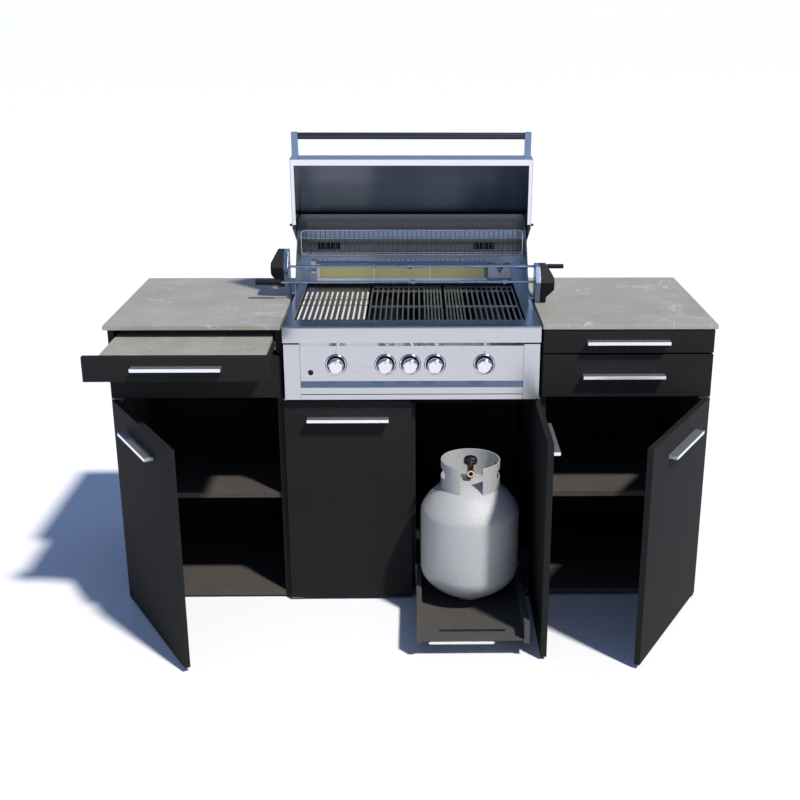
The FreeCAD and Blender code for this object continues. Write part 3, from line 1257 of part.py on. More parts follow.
def build_hood():
    """The roll-top hood, drawn closed about its pivot and then swung open."""
    metal = panel_metal
    face = -hood_front - pivot_y
    rim = deck_top + hood_lift - pivot_z
    start = hood_arc_start

    def turned(radius, angle):
        return (radius * cosine(angle), radius * sine(angle))

    def shoulder(radius, at_y):
        return (radius - at_y * cosine(start)) / sine(start)

    outer = hood_radius
    inner = hood_radius - metal
    inside = face + metal
    first = turned(outer, start)
    last = turned(outer, hood_tail)
    inner_last = turned(inner, hood_tail)
    inner_first = turned(inner, start)
    skin = extrusion("hood_skin", "YZ_Plane",
                     [(face, rim), (face, shoulder(outer, face)), (first[0], first[1], outer, -1), last,
                      (inner_last[0], inner_last[1], inner, 1), inner_first,
                      (inside, shoulder(inner, inside)), (inside, rim)], -hood_half, hood_half)
    slope = (cosine(hood_edge_slope), sine(hood_edge_slope))
    corner = (hood_heel_y * -1 - pivot_y, rim)
    along = corner[0] * slope[0] + corner[1] * slope[1]
    reach = root(along * along - corner[0] * corner[0] - corner[1] * corner[1] + inner * inner) - along
    top = (corner[0] + reach * slope[0], corner[1] + reach * slope[1])
    foot = (corner[0] - along * slope[0], corner[1] - along * slope[1])
    cheek_outline = [(inside, rim), corner, (top[0], top[1], inner, 1), inner_first,
                     (inside, shoulder(inner, inside))]
    arm_outline = [foot, (-lug_radius * slope[0], -lug_radius * slope[1]),
                   (lug_radius * slope[0], lug_radius * slope[1]),
                   (foot[0] + hood_arm_width * slope[0], foot[1] + hood_arm_width * slope[1])]
    solids = [skin]
    for side in (-1, 1):
        name = "left_hood" if side < 0 else "right_hood"
        x = mirror(side, hood_half - metal, hood_half)
        cheek = extrusion(name + "_cheek", "YZ_Plane", cheek_outline, *x)
        arm = extrusion(name + "_arm", "YZ_Plane", arm_outline, *x)
        lug = rod(name + "_lug", "x", (0, 0), lug_radius, *x)
        stop = rod(name + "_stop", "x", (corner[0] - 8, rim + 8), stop_pin_radius,
                   *mirror(side, hood_half, hood_half + stop_pin_length))
        pin_hole = rod(name + "_pin_hole", "x", (0, 0), hinge_pin_radius + running_fit, *x)
        solids += [cheek, cut(name + "_hinge_arm", fuse(name + "_arm_blank", [arm, lug]), [pin_hole]), stop]
        solids.append(block(name + "_rim", mirror(side, hood_half - metal - hood_rim_side,
                                                  hood_half - metal),
                            (inside + hood_rim_front, corner[0] - 10), (rim, rim + metal)))
    solids.append(block("front_rim", (metal - hood_half, hood_half - metal),
                        (inside, inside + hood_rim_front), (rim, rim + metal)))
    swing = {"axis": (-1, 0, 0), "angle": hood_angle}
    base = (0, pivot_y, pivot_z)
    node("hood", solids, base, **swing)
    grip_y = face - hood_handle_reach
    grip_z = rim + hood_handle_height
    outer_x = hood_bracket_inner + hood_bracket_width
    pieces = [rod("hood_bar", "x", (grip_y, grip_z), hood_handle_radius, -outer_x, outer_x)]
    half = hood_bracket_height / 2
    for side in (-1, 1):
        pieces.append(block("hood_bracket", mirror(side, hood_bracket_inner, outer_x),
                            (grip_y - half, face), (grip_z - half, grip_z + half)))
    node("hood_handle", [fuse("hood_grip", pieces)], base, **swing)


# Grease tray, spits and motors

def build_grease_tray():
    metal = panel_metal
    low = support_top + grease_guide + 0.3
    front = (-pillar_face, metal - pillar_face)
    x = (-grease_half, grease_half)
    solids = [block("grease_front", (0.5 - pillar_inner, pillar_inner - 0.5), front,
                    (fascia_bottom, panel_bottom - 2)),
              block("grease_floor", x, (front[1], grease_back), (low, low + metal)),
              block("grease_back_wall", x, (grease_back - metal, grease_back),
                    (low + metal, low + grease_depth)),
              block("grease_left", (x[0], x[0] + metal), (front[1], grease_back - metal),
                    (low + metal, low + grease_depth)),
              block("grease_right", (x[1] - metal, x[1]), (front[1], grease_back - metal),
                    (low + metal, low + grease_depth))]
    node("grease_tray", solids)


def build_spits():
    upper = spit_places[0]
    lower = spit_places[1]
    solids = [rod("upper_rod", "x", upper, spit_radius, -spit_socket, upper_grip_start + 10),
              rod("upper_grip", "x", upper, upper_grip_radius, upper_grip_start, upper_grip_end),
              rod("upper_collar", "x", upper, collar_ring_radius, -upper_collar_x - collar_ring_length / 2,
                  collar_ring_length / 2 - upper_collar_x),
              rod("upper_counter", "x", upper, collar_ring_radius, counterweight_x,
                  counterweight_x + 1.6 * collar_ring_length)]
    node("upper_spit", [fuse("upper_spit_rod", solids)])
    solids = [rod("lower_rod", "x", lower, spit_radius, -lower_grip_start - 10, spit_socket),
              rod("lower_grip", "x", lower, lower_grip_radius, -lower_grip_end, -lower_grip_start)]
    for place in (lower_collar_x, lower_collar_x + lower_collar_gap):
        solids.append(rod("lower_collar", "x", lower, collar_ring_radius,
                          place - collar_ring_length / 2, place + collar_ring_length / 2))
    node("lower_spit", [fuse("lower_spit_rod", solids)])


def build_motor(name, side, place, inner, width, ridge, y):
    """A motor with sloping corners on its steel bracket beside the hood; one spit ends in it."""
    low = ridge - motor_below
    high = ridge + motor_above
    box_inner = inner + motor_bracket_width
    outer = box_inner + width
    seen_from_side = [(y[0], ridge), (y[0] + motor_top_setback, high), (y[1], high), (y[1], low),
                      (y[0] + motor_foot_setback, low)]
    seen_from_front = [(inner, low), (box_inner + motor_neck_width, low),
                       (box_inner + motor_neck_width, low + motor_neck_height),
                       (outer, low + motor_neck_height + motor_low_cut), (outer, high - motor_top_cut),
                       (box_inner + motor_top_width, high), (inner, high)]
    across = [(side * x, z) for x, z in seen_from_front]
    body = common(name + "_body", [
        extrusion(name + "_side_shape", "YZ_Plane", seen_from_side, *mirror(side, inner, outer)),
        extrusion(name + "_front_shape", "XZ_Plane", across, y[0], y[1])])
    leg_y = (y[1] - motor_leg_depth, y[1])
    leg = block(name + "_leg", mirror(side, inner, inner + sheet_metal), leg_y, (deck_top, low))
    foot = block(name + "_foot", mirror(side, lip_half - sheet_metal, inner + sheet_metal), leg_y,
                 (deck_top, deck_top + 2))
    bore = rod(name + "_bore", "x", place, spit_radius + running_fit,
               *mirror(side, inner, spit_socket + 2))
    return cut(name, fuse(name + "_blank", [body, leg, foot]), [bore])


def build_motors():
    left_front = lower_spit_y + lower_grip_radius + motor_air
    right_back = upper_spit_y - upper_grip_radius - motor_air
    left = build_motor("left_drive", -1, spit_places[0], left_bracket_x, left_motor_width,
                       deck_top + left_ridge_rise, (left_front, left_front + left_motor_depth))
    right = build_motor("right_drive", 1, spit_places[1], right_bracket_x, right_motor_width,
                        deck_top + right_ridge_rise, (right_back - right_motor_depth, right_back))
    node("rotisserie_motors", [left, right])


build_carcass()
build_feet()
build_worktops()
build_pivot_brackets()
build_doors()
build_drawers()
build_board_slide()
build_runners()
build_gas_tray()
build_bottle()
build_deck()
build_firebox()
build_front_panel()
build_controls()
build_burners()
build_grills()
build_rear_housing()
build_rear_burner()
build_warming_rack()
build_hood()
build_grease_tray()
build_spits()
build_motors()


# Check and write

doc.recompute()
for thing in doc.Objects:
    if "Invalid" in thing.State or "Error" in thing.State:
        raise RuntimeError("%s failed: %s" % (thing.Label, thing.State))
os.makedirs("parts", exist_ok=True)
for part in nodes:
    if part.Shape.isNull() or not part.Shape.isValid():
        raise RuntimeError("%s has no valid shape" % part.Label)
    part.Shape.exportStep("parts/%s.step" % part.Label)
print("%d sub-parts, %d solids" % (len(nodes), sum(len(part.Shape.Solids) for part in nodes)))
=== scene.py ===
# %% [markdown]
# # An outdoor kitchen island
#
# Three charcoal cabinets carry two stone worktops, and a gas barbecue sits between the stones.
# This notebook starts from the island's solid model. It gives every surface a finish, and where
# the look depends on fine detail it swaps a solid for a surface that is worked out here. Lengths
# are metres; x runs along the island, the doors face -y and z points up.

# %% Load the island
import json
import math
import bmesh
import bpy
import numpy as np
from mathutils import Matrix, Vector

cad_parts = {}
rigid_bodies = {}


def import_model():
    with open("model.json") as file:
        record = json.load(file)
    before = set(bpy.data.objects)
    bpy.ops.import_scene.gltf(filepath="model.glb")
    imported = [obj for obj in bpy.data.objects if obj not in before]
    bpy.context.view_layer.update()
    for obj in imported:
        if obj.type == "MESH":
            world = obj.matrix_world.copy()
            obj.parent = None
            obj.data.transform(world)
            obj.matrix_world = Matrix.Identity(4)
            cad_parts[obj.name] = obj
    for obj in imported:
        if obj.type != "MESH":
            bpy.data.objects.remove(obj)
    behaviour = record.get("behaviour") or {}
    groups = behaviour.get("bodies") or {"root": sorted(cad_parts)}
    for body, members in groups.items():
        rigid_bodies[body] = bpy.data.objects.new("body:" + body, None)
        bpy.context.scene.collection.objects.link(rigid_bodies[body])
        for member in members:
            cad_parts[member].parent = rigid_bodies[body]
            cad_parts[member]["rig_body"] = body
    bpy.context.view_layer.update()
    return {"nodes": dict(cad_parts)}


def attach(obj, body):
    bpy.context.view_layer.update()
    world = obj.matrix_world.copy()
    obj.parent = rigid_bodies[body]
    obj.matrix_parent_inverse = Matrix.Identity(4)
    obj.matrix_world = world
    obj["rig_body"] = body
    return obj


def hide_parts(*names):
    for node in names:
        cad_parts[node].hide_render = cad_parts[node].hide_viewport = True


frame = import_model()
MM = 0.001

# %% [markdown]
# ## Camera
#
# The photograph was taken from head height, almost straight on, with a lens a little longer than
# normal. The numbers come from fitting the island's known corners to the picture. Its optical
# centre isn't the middle of the frame, which is what the two small shifts are for. The camera
# looks along one vector and keeps another one upright; the third axis is square to both.

# %% Set up the camera
FOCAL_PIXELS = 1177.9
PICTURE = 800
CENTRE_ACROSS = 437.2
CENTRE_DOWN = 417.6
lens = bpy.data.cameras.new("camera")
lens.sensor_width = 36.0
lens.lens = FOCAL_PIXELS * lens.sensor_width / PICTURE
lens.shift_x = (PICTURE / 2 - CENTRE_ACROSS) / PICTURE
lens.shift_y = (CENTRE_DOWN - PICTURE / 2) / PICTURE
FLOOR_REACH = 400.0
lens.clip_end = 5 * FLOOR_REACH
camera = bpy.data.objects.new("camera", lens)
bpy.context.scene.collection.objects.link(camera)
CAMERA_PLACE = (0.01324, -3.75581, 1.82033)
FORWARD = Vector((0.017485, 0.944203, -0.328899))
UPWARD = Vector((0.003381, 0.328892, 0.944362))
camera.location = CAMERA_PLACE
camera.rotation_mode = "QUATERNION"
camera.rotation_quaternion = Matrix((FORWARD.cross(UPWARD), UPWARD, -FORWARD)).transposed().to_quaternion()
bpy.context.scene.camera = camera
print("lens", round(lens.lens, 1), "mm")

# %% [markdown]
# ## Studio
#
# The photograph has a warm main light from the front right and a blue fill from all round. Lamps
# close by would leave the floor uneven, so the main light is a Sun, which keeps the floor white.
# Its disc is about eight times as wide as the real one, for slightly soft shadows.

# %% Hang the main light
SUN_FROM = Vector((0.49, -0.52, 1.0))
SUN_STRENGTH = 4.3
SUN_WIDTH = math.radians(4)
sun = bpy.data.lights.new("main_light", "SUN")
sun.energy = SUN_STRENGTH
sun.color = (1.0, 0.975, 0.94)
sun.angle = SUN_WIDTH
sun_holder = bpy.data.objects.new("main_light", sun)
bpy.context.scene.collection.objects.link(sun_holder)
sun_holder.rotation_euler = SUN_FROM.to_track_quat("Z", "Y").to_euler()
print("main light", round(math.degrees(SUN_WIDTH)), "degrees wide")

# %% [markdown]
# The fill is the sky itself, a gradient in the World: white at the horizon and dark blue overhead.
# Polished steel shows whatever surrounds it, so a plain white room would make it look like paper.

# %% Paint the sky
room = bpy.data.worlds.new("studio")
bpy.context.scene.world = room
room.use_nodes = True
tree = room.node_tree
direction = tree.nodes.new("ShaderNodeTexCoord")
height = tree.nodes.new("ShaderNodeSeparateXYZ")
tree.links.new(direction.outputs["Generated"], height.inputs[0])
shades = tree.nodes.new("ShaderNodeValToRGB")
SKY = [(0.0, (1.0, 1.0, 1.0)), (0.03, (0.95, 0.97, 1.0)), (0.16, (0.33, 0.46, 0.71)),
       (0.45, (0.125, 0.2, 0.41)), (1.0, (0.115, 0.17, 0.33))]
while len(shades.color_ramp.elements) < len(SKY):
    shades.color_ramp.elements.new(0.5)
for element, (position, tint) in zip(shades.color_ramp.elements, SKY):
    element.position = position
    element.color = (*tint, 1)
tree.links.new(height.outputs["Z"], shades.inputs[0])
tree.links.new(shades.outputs[0], tree.nodes["Background"].inputs["Color"])
bpy.context.scene.view_settings.view_transform = "Standard"
print("sky of", len(SKY), "colours")

# %% [markdown]
# The floor only belongs to the studio, not to the island. It is very large, so that its far edge
# melts into the pale horizon.

# %% Lay the floor
floor_mesh = bpy.data.meshes.new("floor")
corners = [(x * FLOOR_REACH, y * FLOOR_REACH, 0) for x, y in ((-1, -1), (1, -1), (1, 1), (-1, 1))]
floor_mesh.from_pydata(corners, [], [(0, 1, 2, 3)])
floor = bpy.data.objects.new("floor", floor_mesh)
bpy.context.scene.collection.objects.link(floor)
print("floor", 2 * FLOOR_REACH, "m wide")

# %% [markdown]
# ## A helper for shaders
#
# A shader tree reads best as a list of its parts. This helper adds a node, sets its sockets by
# name and links them, so that each finish below fits on a few lines.

# %% Make the shader helper
class Shader:
    """Adds nodes to one tree; a socket is given as a number, a colour or another node's socket."""

    def __init__(self, tree):
        self.tree = tree

    def fill(self, socket, value):
        """Links another node's socket to this one, or sets this one to a value."""
        if isinstance(value, bpy.types.NodeSocket):
            self.tree.links.new(value, socket)
        else:
            socket.default_value = value

    def add(self, kind, settings=None, **sockets):
        """A node of a kind; an underscore in a socket's name stands for a space."""
        node = self.tree.nodes.new(kind)
        for key, value in (settings or {}).items():
            setattr(node, key, value)
        for key, value in sockets.items():
            self.fill(node.inputs[key.replace("_", " ")], value)
        return node

    def math(self, operation, a, b=0.0):
        node = self.add("ShaderNodeMath", {"operation": operation})
        self.fill(node.inputs[0], a)
        self.fill(node.inputs[1], b)
        return node.outputs[0]

    def mix(self, factor, a, b):
        """Colour a where the factor is 0 and colour b where it is 1."""
        node = self.add("ShaderNodeMix", {"data_type": "RGBA"})
        for number, value in ((0, factor), (6, a), (7, b)):
            self.fill(node.inputs[number], value)
        return node.outputs[2]

    def ramp(self, factor, stops):
        """A colour ramp; each stop is a position and a grey or a colour."""
        node = self.add("ShaderNodeValToRGB", Fac=factor)
        elements = node.color_ramp.elements
        while len(elements) < len(stops):
            elements.new(0.5)
        for element, (position, value) in zip(elements, stops):
            element.position = position
            element.color = (value, value, value, 1) if isinstance(value, float) else (*value, 1)
        return node.outputs[0]

    def noise(self, place, scale, detail=3.0, rough=0.55, bend=0.0):
        """Soft noise; scale counts its patches per metre."""
        return self.add("ShaderNodeTexNoise", Vector=place, Scale=scale, Detail=detail, Roughness=rough,
                        Distortion=bend).outputs["Fac"]

    def stretch(self, place, scale):
        return self.add("ShaderNodeMapping", Vector=place, Scale=scale).outputs[0]

    def bump(self, height, strength, distance):
        return self.add("ShaderNodeBump", Height=height, Strength=strength, Distance=distance).outputs[0]

    def group(self, shared, **sockets):
        """One use of a shared effect: returns all its outputs."""
        node = self.add("ShaderNodeGroup", {"node_tree": shared})
        for key, value in sockets.items():
            self.fill(node.inputs[key], value)
        return node.outputs


print("shader helper ready")

# %% [markdown]
# Four short functions start a shared effect or a material, wire its shader and shade a colour. A
# shared effect is a node group: it is written once, and every finish that uses it feeds it numbers
# of its own. All patterns read the piece's own coordinates, so they stay on it when it moves.

# %% Start a material or a shared effect
def shared_effect(name, inputs, outputs):
    """An empty node group with named sockets: returns the group, its helper and its two ends."""
    group = bpy.data.node_groups.new(name, "ShaderNodeTree")
    for label, kind, value in inputs:
        socket = group.interface.new_socket(label, in_out="INPUT", socket_type="NodeSocket" + kind)
        if value is not None:
            socket.default_value = value
    for label in outputs:
        group.interface.new_socket(label, in_out="OUTPUT", socket_type="NodeSocketFloat")
    return group, Shader(group), group.nodes.new("NodeGroupInput"), group.nodes.new("NodeGroupOutput")


def finish(name):
    """A new material: returns it, its helper, its Principled shader and the piece's coordinates."""
    material = bpy.data.materials.new(name)
    material.use_nodes = True
    shader = Shader(material.node_tree)
    return material, shader, material.node_tree.nodes["Principled BSDF"], \
        shader.add("ShaderNodeTexCoord").outputs["Object"]


def wire(shader, surface, **sockets):
    """Sets or links the Principled shader's own sockets."""
    for key, value in sockets.items():
        shader.fill(surface.inputs[key.replace("_", " ")], value)


def shade(tint, factor):
    """A colour made darker or lighter, with alpha."""
    return (*[min(channel * factor, 1.0) for channel in tint], 1)


print("a third darker than half grey:", shade((0.5, 0.5, 0.5), 2 / 3))

# %% [markdown]
# ### Brushing
#
# Brushing leaves thousands of fine scratches in one direction. Noise stretched a few hundred times
# along that direction gives the scratches, and a slow noise under it gives the faint clouds of a
# large sheet. Every brushed metal here shares this one group and only changes its numbers.

# %% Build the brushing effect
brushing, g, start, end = shared_effect(
    "brushing", [("Vector", "Vector", None), ("Rough", "Float", 0.3), ("Spread", "Float", 0.12)],
    ["Roughness", "Height", "Tone"])
scratches = g.noise(start.outputs["Vector"], 1.0, 3.0, 0.6)
clouds = g.noise(start.outputs["Vector"], 0.06, 2.0)
blend = g.math("ADD", g.math("MULTIPLY", scratches, 0.88), g.math("MULTIPLY", clouds, 0.12))
swing = g.math("SUBTRACT", blend, 0.5)
g.fill(end.inputs["Roughness"], g.math("ADD", start.outputs["Rough"],
                                       g.math("MULTIPLY", swing, start.outputs["Spread"])))
g.fill(end.inputs["Height"], scratches)
g.fill(end.inputs["Tone"], g.math("ADD", 0.6, g.math("MULTIPLY", swing, 1.1)))
print("brushing:", len(brushing.nodes), "shader nodes")

# %% [markdown]
# ### Handling marks
#
# Nothing in use is perfectly even. One soft noise makes patches, which each finish uses a little:
# as smudges on steel, as rubbed places on boards, as uneven gloss on paint. A very fine noise
# beside it is the grain that can be felt with a fingernail.

# %% Build the marks effect
marks, g, start, end = shared_effect(
    "marks", [("Vector", "Vector", None), ("Size", "Float", 8.0), ("Contrast", "Float", 0.5),
              ("Grain", "Float", 900.0)], ["Mask", "Height"])
patches = g.noise(start.outputs["Vector"], start.outputs["Size"], 5.0, 0.62)
level = g.math("MULTIPLY", g.math("SUBTRACT", patches, 0.5), start.outputs["Contrast"])
g.fill(end.inputs["Mask"], g.math("ADD", 0.5, level))
g.fill(end.inputs["Height"], g.noise(start.outputs["Vector"], start.outputs["Grain"], 2.0))
print("marks:", len(marks.nodes), "shader nodes")

# %% [markdown]
# ## Finishes
#
# The cabinets are faced with matte charcoal laminate: nearly black, with a fine leathery grain. A
# low index of refraction keeps the white floor from washing it out, as on a real anti-fingerprint
# board. Shelves, cabinet floors and the tray get the same recipe, paler, as painted light on their
# lit tops; the carcass boards are a little paler than the fronts, as painted light on their edges;
# and the rails under the barbecue are the darkest, as painted shade.

# %% Charcoal boards
BOARD_INDEX = 1.12


def laminate(name, tint, matte):
    """Grained board; matte is its lowest roughness, and rubbed patches add a little to it."""
    material, s, surface, place = finish(name)
    worn = s.group(marks, Vector=place, Size=7.0, Contrast=1.0, Grain=1300.0)
    rough = s.math("ADD", matte, s.math("MULTIPLY", worn["Mask"], 0.14))
    surface.inputs["IOR"].default_value = BOARD_INDEX
    wire(s, surface, Base_Color=s.mix(worn["Mask"], shade(tint, 0.8), shade(tint, 1.22)), Roughness=rough,
         Normal=s.bump(worn["Height"], 0.25, 0.0004))
    return material


# Fronts: own colour. Shelf, case and tray: paler, painted light. Rails: darker, painted shade.
front_board = laminate("charcoal_front", (0.0165, 0.0165, 0.0163), 0.6)
shelf_board_painted_light = laminate("charcoal_shelf_painted_light", (0.072, 0.064, 0.057), 0.6)
case_board_painted_light = laminate("charcoal_case_painted_light", (0.023, 0.023, 0.0232), 0.6)
rail_board_painted_shade = laminate("charcoal_rail_painted_shade", (0.004, 0.004, 0.004), 0.7)
tray_coat_painted_light = laminate("powder_coated_tray_painted_light", (0.074, 0.069, 0.063), 0.6)
print("boards: five shades of one recipe")

# %% [markdown]
# The worktops are a warm grey stone. The ground is mottled softly at two scales, with fine
# crystals in it, and short white veins cross it here and there. A vein is the thin band where a
# bent noise passes through its middle value, and a second noise decides where veins may show.

# %% Stone
VEINS = [(3.1, 0.006, 0.0, 3.4), (5.3, 0.0065, 3.7, 5.0), (9.0, 0.0065, 8.1, 7.0)]
VEIN_COLOUR = (0.66, 0.65, 0.61, 1)
stone, s, surface, place = finish("honed_stone")
mottle = s.noise(place, 7.0, 7.0, 0.66)
crystals = s.noise(place, 320.0, 3.0)
ground = s.ramp(mottle, [(0.3, (0.29, 0.278, 0.228)), (0.7, (0.378, 0.362, 0.3))])
ground = s.mix(s.math("MULTIPLY", crystals, 0.4), ground, (0.238, 0.228, 0.186, 1))
veins = None
for scale, width, offset, where in VEINS:
    shifted = s.add("ShaderNodeMapping", Vector=place, Location=(offset, offset * 1.7, offset)).outputs[0]
    wander = s.noise(shifted, scale, 5.0, 0.5, 0.9)
    away = s.math("ABSOLUTE", s.math("SUBTRACT", wander, 0.5))
    line = s.math("MAXIMUM", s.math("SUBTRACT", 1.0, s.math("DIVIDE", away, width)), 0.0)
    allowed = s.ramp(s.noise(shifted, where, 2.0), [(0.52, 0.0), (0.6, 1.0)])
    line = s.math("MULTIPLY", line, allowed)
    veins = line if veins is None else s.math("MAXIMUM", veins, line)
wire(s, surface, Base_Color=s.mix(s.math("MULTIPLY", veins, 0.75), ground, VEIN_COLOUR),
     Roughness=s.math("ADD", 0.38, s.math("MULTIPLY", mottle, 0.2)),
     Normal=s.bump(crystals, 0.1, 0.0005))
print("stone:", len(VEINS), "sizes of vein")

# %% [markdown]
# The barbecue is brushed stainless steel. Sheets are brushed along their length before they are
# folded, so two versions differ only in which way the scratches run. The cast and drawn parts
# are duller, and the firebox under the grates is nearly black. The spits, the brackets and the
# burner's frame have a bluish tint that is a painted reflection of the sky, in the brackets and
# frame with painted shade too.

# %% Metals
def brushed(name, along, tint, rough, spread=0.12, bump=0.03, metal=1.0):
    """Brushed metal; along holds how fast the scratches change in x, y and z, per metre."""
    material, s, surface, place = finish(name)
    streak = s.group(brushing, Vector=s.stretch(place, along), Rough=rough, Spread=spread)
    smudge = s.group(marks, Vector=place, Size=5.0, Contrast=0.6)
    wire(s, surface, Metallic=metal, Base_Color=s.mix(streak["Tone"], shade(tint, 0.84), shade(tint, 1.06)),
         Roughness=s.math("ADD", streak["Roughness"], s.math("MULTIPLY", smudge["Mask"], 0.05)),
         Normal=s.bump(streak["Height"], bump, 0.0003))
    return material


STEEL = (0.57, 0.57, 0.575)
steel_along = brushed("steel_brushed_along", (5, 1500, 1500), STEEL, 0.2)
steel_upright = brushed("steel_brushed_upright", (1500, 1500, 5), STEEL, 0.22)
hood_steel = brushed("hood_steel", (4, 2600, 2600), (0.44, 0.46, 0.49), 0.2, 0.1, 0.012)
# Painted sky reflection and painted shade: the brackets' and the burner frame's dark blue tint.
bracket_steel_painted_sky = brushed("bracket_steel_painted_sky", (900, 900, 6), (0.2, 0.27, 0.38), 0.25)
bright_steel = brushed("bright_steel", (300, 300, 300), (0.8, 0.8, 0.8), 0.12, 0.08, 0.02)
pale_steel = brushed("pale_steel", (400, 400, 400), (0.82, 0.81, 0.83), 0.35, 0.1, 0.02, 0.4)
plate_ribs = brushed("griddle_plate_steel", (900, 8, 900), (0.37, 0.345, 0.3), 0.34)
grate_bars = brushed("grate_bar_steel", (900, 10, 900), (0.62, 0.61, 0.6), 0.3)
dull_steel = brushed("dull_steel", (300, 300, 40), (0.3, 0.3, 0.31), 0.42, 0.2)
# Nearly black: the firebox, burners and flame tamers under the grates.
near_black_steel = brushed("near_black_steel", (60, 60, 60), (0.035, 0.035, 0.038), 0.5, 0.2)
handle_face = brushed("handle_aluminium", (8, 1800, 1800), (0.93, 0.92, 0.93), 0.34, 0.08, 0.02, 0.95)
runner_zinc = brushed("runner_steel", (1200, 8, 1200), (0.5, 0.51, 0.53), 0.33)
# Painted sky reflection: the spits' blue tint.
spit_steel_painted_sky = brushed("spit_steel_painted_sky", (10, 1400, 1400), (0.4, 0.53, 0.7), 0.16, 0.08, 0.02)
rack_steel = brushed("rack_steel", (10, 1400, 1400), (0.62, 0.64, 0.67), 0.16, 0.08, 0.02)
# The rack's uprights: darker and bluish than the frame wires.
upright_steel = brushed("dark_bluish_wire_steel", (1400, 1400, 10), (0.1, 0.115, 0.14), 0.3)
print(len(bpy.data.materials), "finishes so far")

# %% [markdown]
# The wall behind the grates and the inside of the hood lie in shade. The steel stays smooth, and its
# colour carries painted shade and a painted blue reflection of the sky: the wall darkest near its
# top, the lining near its lower edge. So the colour follows a gradient by height, and the scratches
# are shallow, since a rough wall would glow in the main light.

# %% Steel with painted shade
def painted_shade_steel(name, stops, rough):
    """Steel with painted shade and sky reflection; each stop is a height in metres and its colour."""
    material, s, surface, place = finish(name)
    streak = s.group(brushing, Vector=s.stretch(place, (5, 1500, 1500)), Rough=rough, Spread=0.05)
    level = s.add("ShaderNodeSeparateXYZ", Vector=place).outputs["Z"]
    low, high = stops[0][0], stops[-1][0]
    share = s.math("DIVIDE", s.math("SUBTRACT", level, low), high - low)
    painted_shade_gradient = s.ramp(share, [((z - low) / (high - low), tint) for z, tint in stops])
    wire(s, surface, Metallic=0.9, Base_Color=s.mix(streak["Tone"], s.mix(0.2, painted_shade_gradient, (0, 0, 0, 1)), painted_shade_gradient),
         Roughness=streak["Roughness"], Normal=s.bump(streak["Height"], 0.01, 0.0003))
    return material


# Painted shade and painted sky reflection on the rear wall, in bands by height.
WALL_PAINTED_SHADE = [(0.92, (0.5, 0.57, 0.66)), (1.01, (0.44, 0.53, 0.64)), (1.022, (0.13, 0.135, 0.145)),
             (1.072, (0.13, 0.135, 0.145)), (1.079, (0.2, 0.26, 0.35)), (1.099, (0.2, 0.26, 0.35)),
             (1.106, (0.07, 0.075, 0.082)), (1.157, (0.095, 0.105, 0.115))]
# Painted shade and painted sky reflection on the hood's lining.
LINING_PAINTED_SHADE = [(1.1, (0.035, 0.035, 0.035)), (1.165, (0.045, 0.05, 0.055)), (1.185, (0.25, 0.33, 0.42)),
               (1.26, (0.28, 0.32, 0.44))]
painted_shade_wall = painted_shade_steel("painted_shade_wall", WALL_PAINTED_SHADE, 0.2)
hood_lining_painted_shade = painted_shade_steel("hood_lining_painted_shade", LINING_PAINTED_SHADE, 0.24)
# The print gives the heights of the wall's painted shade gradient.
print("smoke film on the wall from", WALL_PAINTED_SHADE[0][0], "to", WALL_PAINTED_SHADE[-1][0], "m up")

# %% [markdown]
# Heated parts: the pale strips in the slots of the left plate are painted light on the slots'
# floors, and the rear burner has three tiles of pressed fireclay between cream rails and yellow
# seams. A real tile is pierced by hundreds of fine holes. They are too small to show as holes at
# this distance, so a lattice of dots gives them in colour and bump, the darker dots being painted
# shade in the holes.

# %% Heated parts
def lattice(s, place, pitch):
    """Round dots in rows: 1 at each dot's middle and 0 between them."""
    waves = [s.add("ShaderNodeMath", {"operation": "SINE"}) for _ in range(2)]
    split = s.add("ShaderNodeSeparateXYZ", Vector=place)
    for wave, axis in zip(waves, ("X", "Z")):
        s.fill(wave.inputs[0], s.math("MULTIPLY", split.outputs[axis], math.pi / pitch))
    product = s.math("MULTIPLY", waves[0].outputs[0], waves[1].outputs[0])
    return s.math("POWER", s.math("ABSOLUTE", product), 3.0)


HOLE_PITCH = 0.0032
fireclay, s, surface, place = finish("fireclay_tile")
dots = lattice(s, place, HOLE_PITCH)
baked = s.group(marks, Vector=place, Size=11.0, Contrast=1.1)
tile_tint = s.mix(baked["Mask"], (0.84, 0.77, 0.28, 1), (0.98, 0.92, 0.42, 1))
# Painted shade: the darker dots in the tile's holes.
wire(s, surface, Base_Color=s.mix(s.math("MULTIPLY", dots, 0.6), tile_tint, (0.36, 0.33, 0.11, 1)),
     Roughness=s.math("ADD", 0.7, s.math("MULTIPLY", baked["Mask"], 0.2)), Normal=s.bump(dots, -0.5, 0.0012))


def baked_layer_and_painted_light(name, dark, light):
    """A dry baked layer whose colour wanders between two shades; on slot strips and clips, painted light."""
    material, s, surface, place = finish(name)
    baked = s.group(marks, Vector=place, Size=40.0, Contrast=1.4)
    wire(s, surface, Base_Color=s.mix(baked["Mask"], (*dark, 1), (*light, 1)),
         Roughness=s.math("ADD", 0.45, s.math("MULTIPLY", baked["Mask"], 0.2)),
         Normal=s.bump(baked["Height"], 0.2, 0.0004))
    return material


# Painted light: the pale strips on the slots' floors.
slot_painted_light = baked_layer_and_painted_light("slot_painted_light", (0.56, 0.545, 0.48), (0.82, 0.8, 0.72))
cream_rail = baked_layer_and_painted_light("cream_rail", (0.88, 0.82, 0.8), (1.0, 0.96, 0.93))
kiln_seam = baked_layer_and_painted_light("kiln_seam", (0.95, 0.92, 0.5), (1.0, 1.0, 0.72))
print("tile holes every", HOLE_PITCH / MM, "mm")

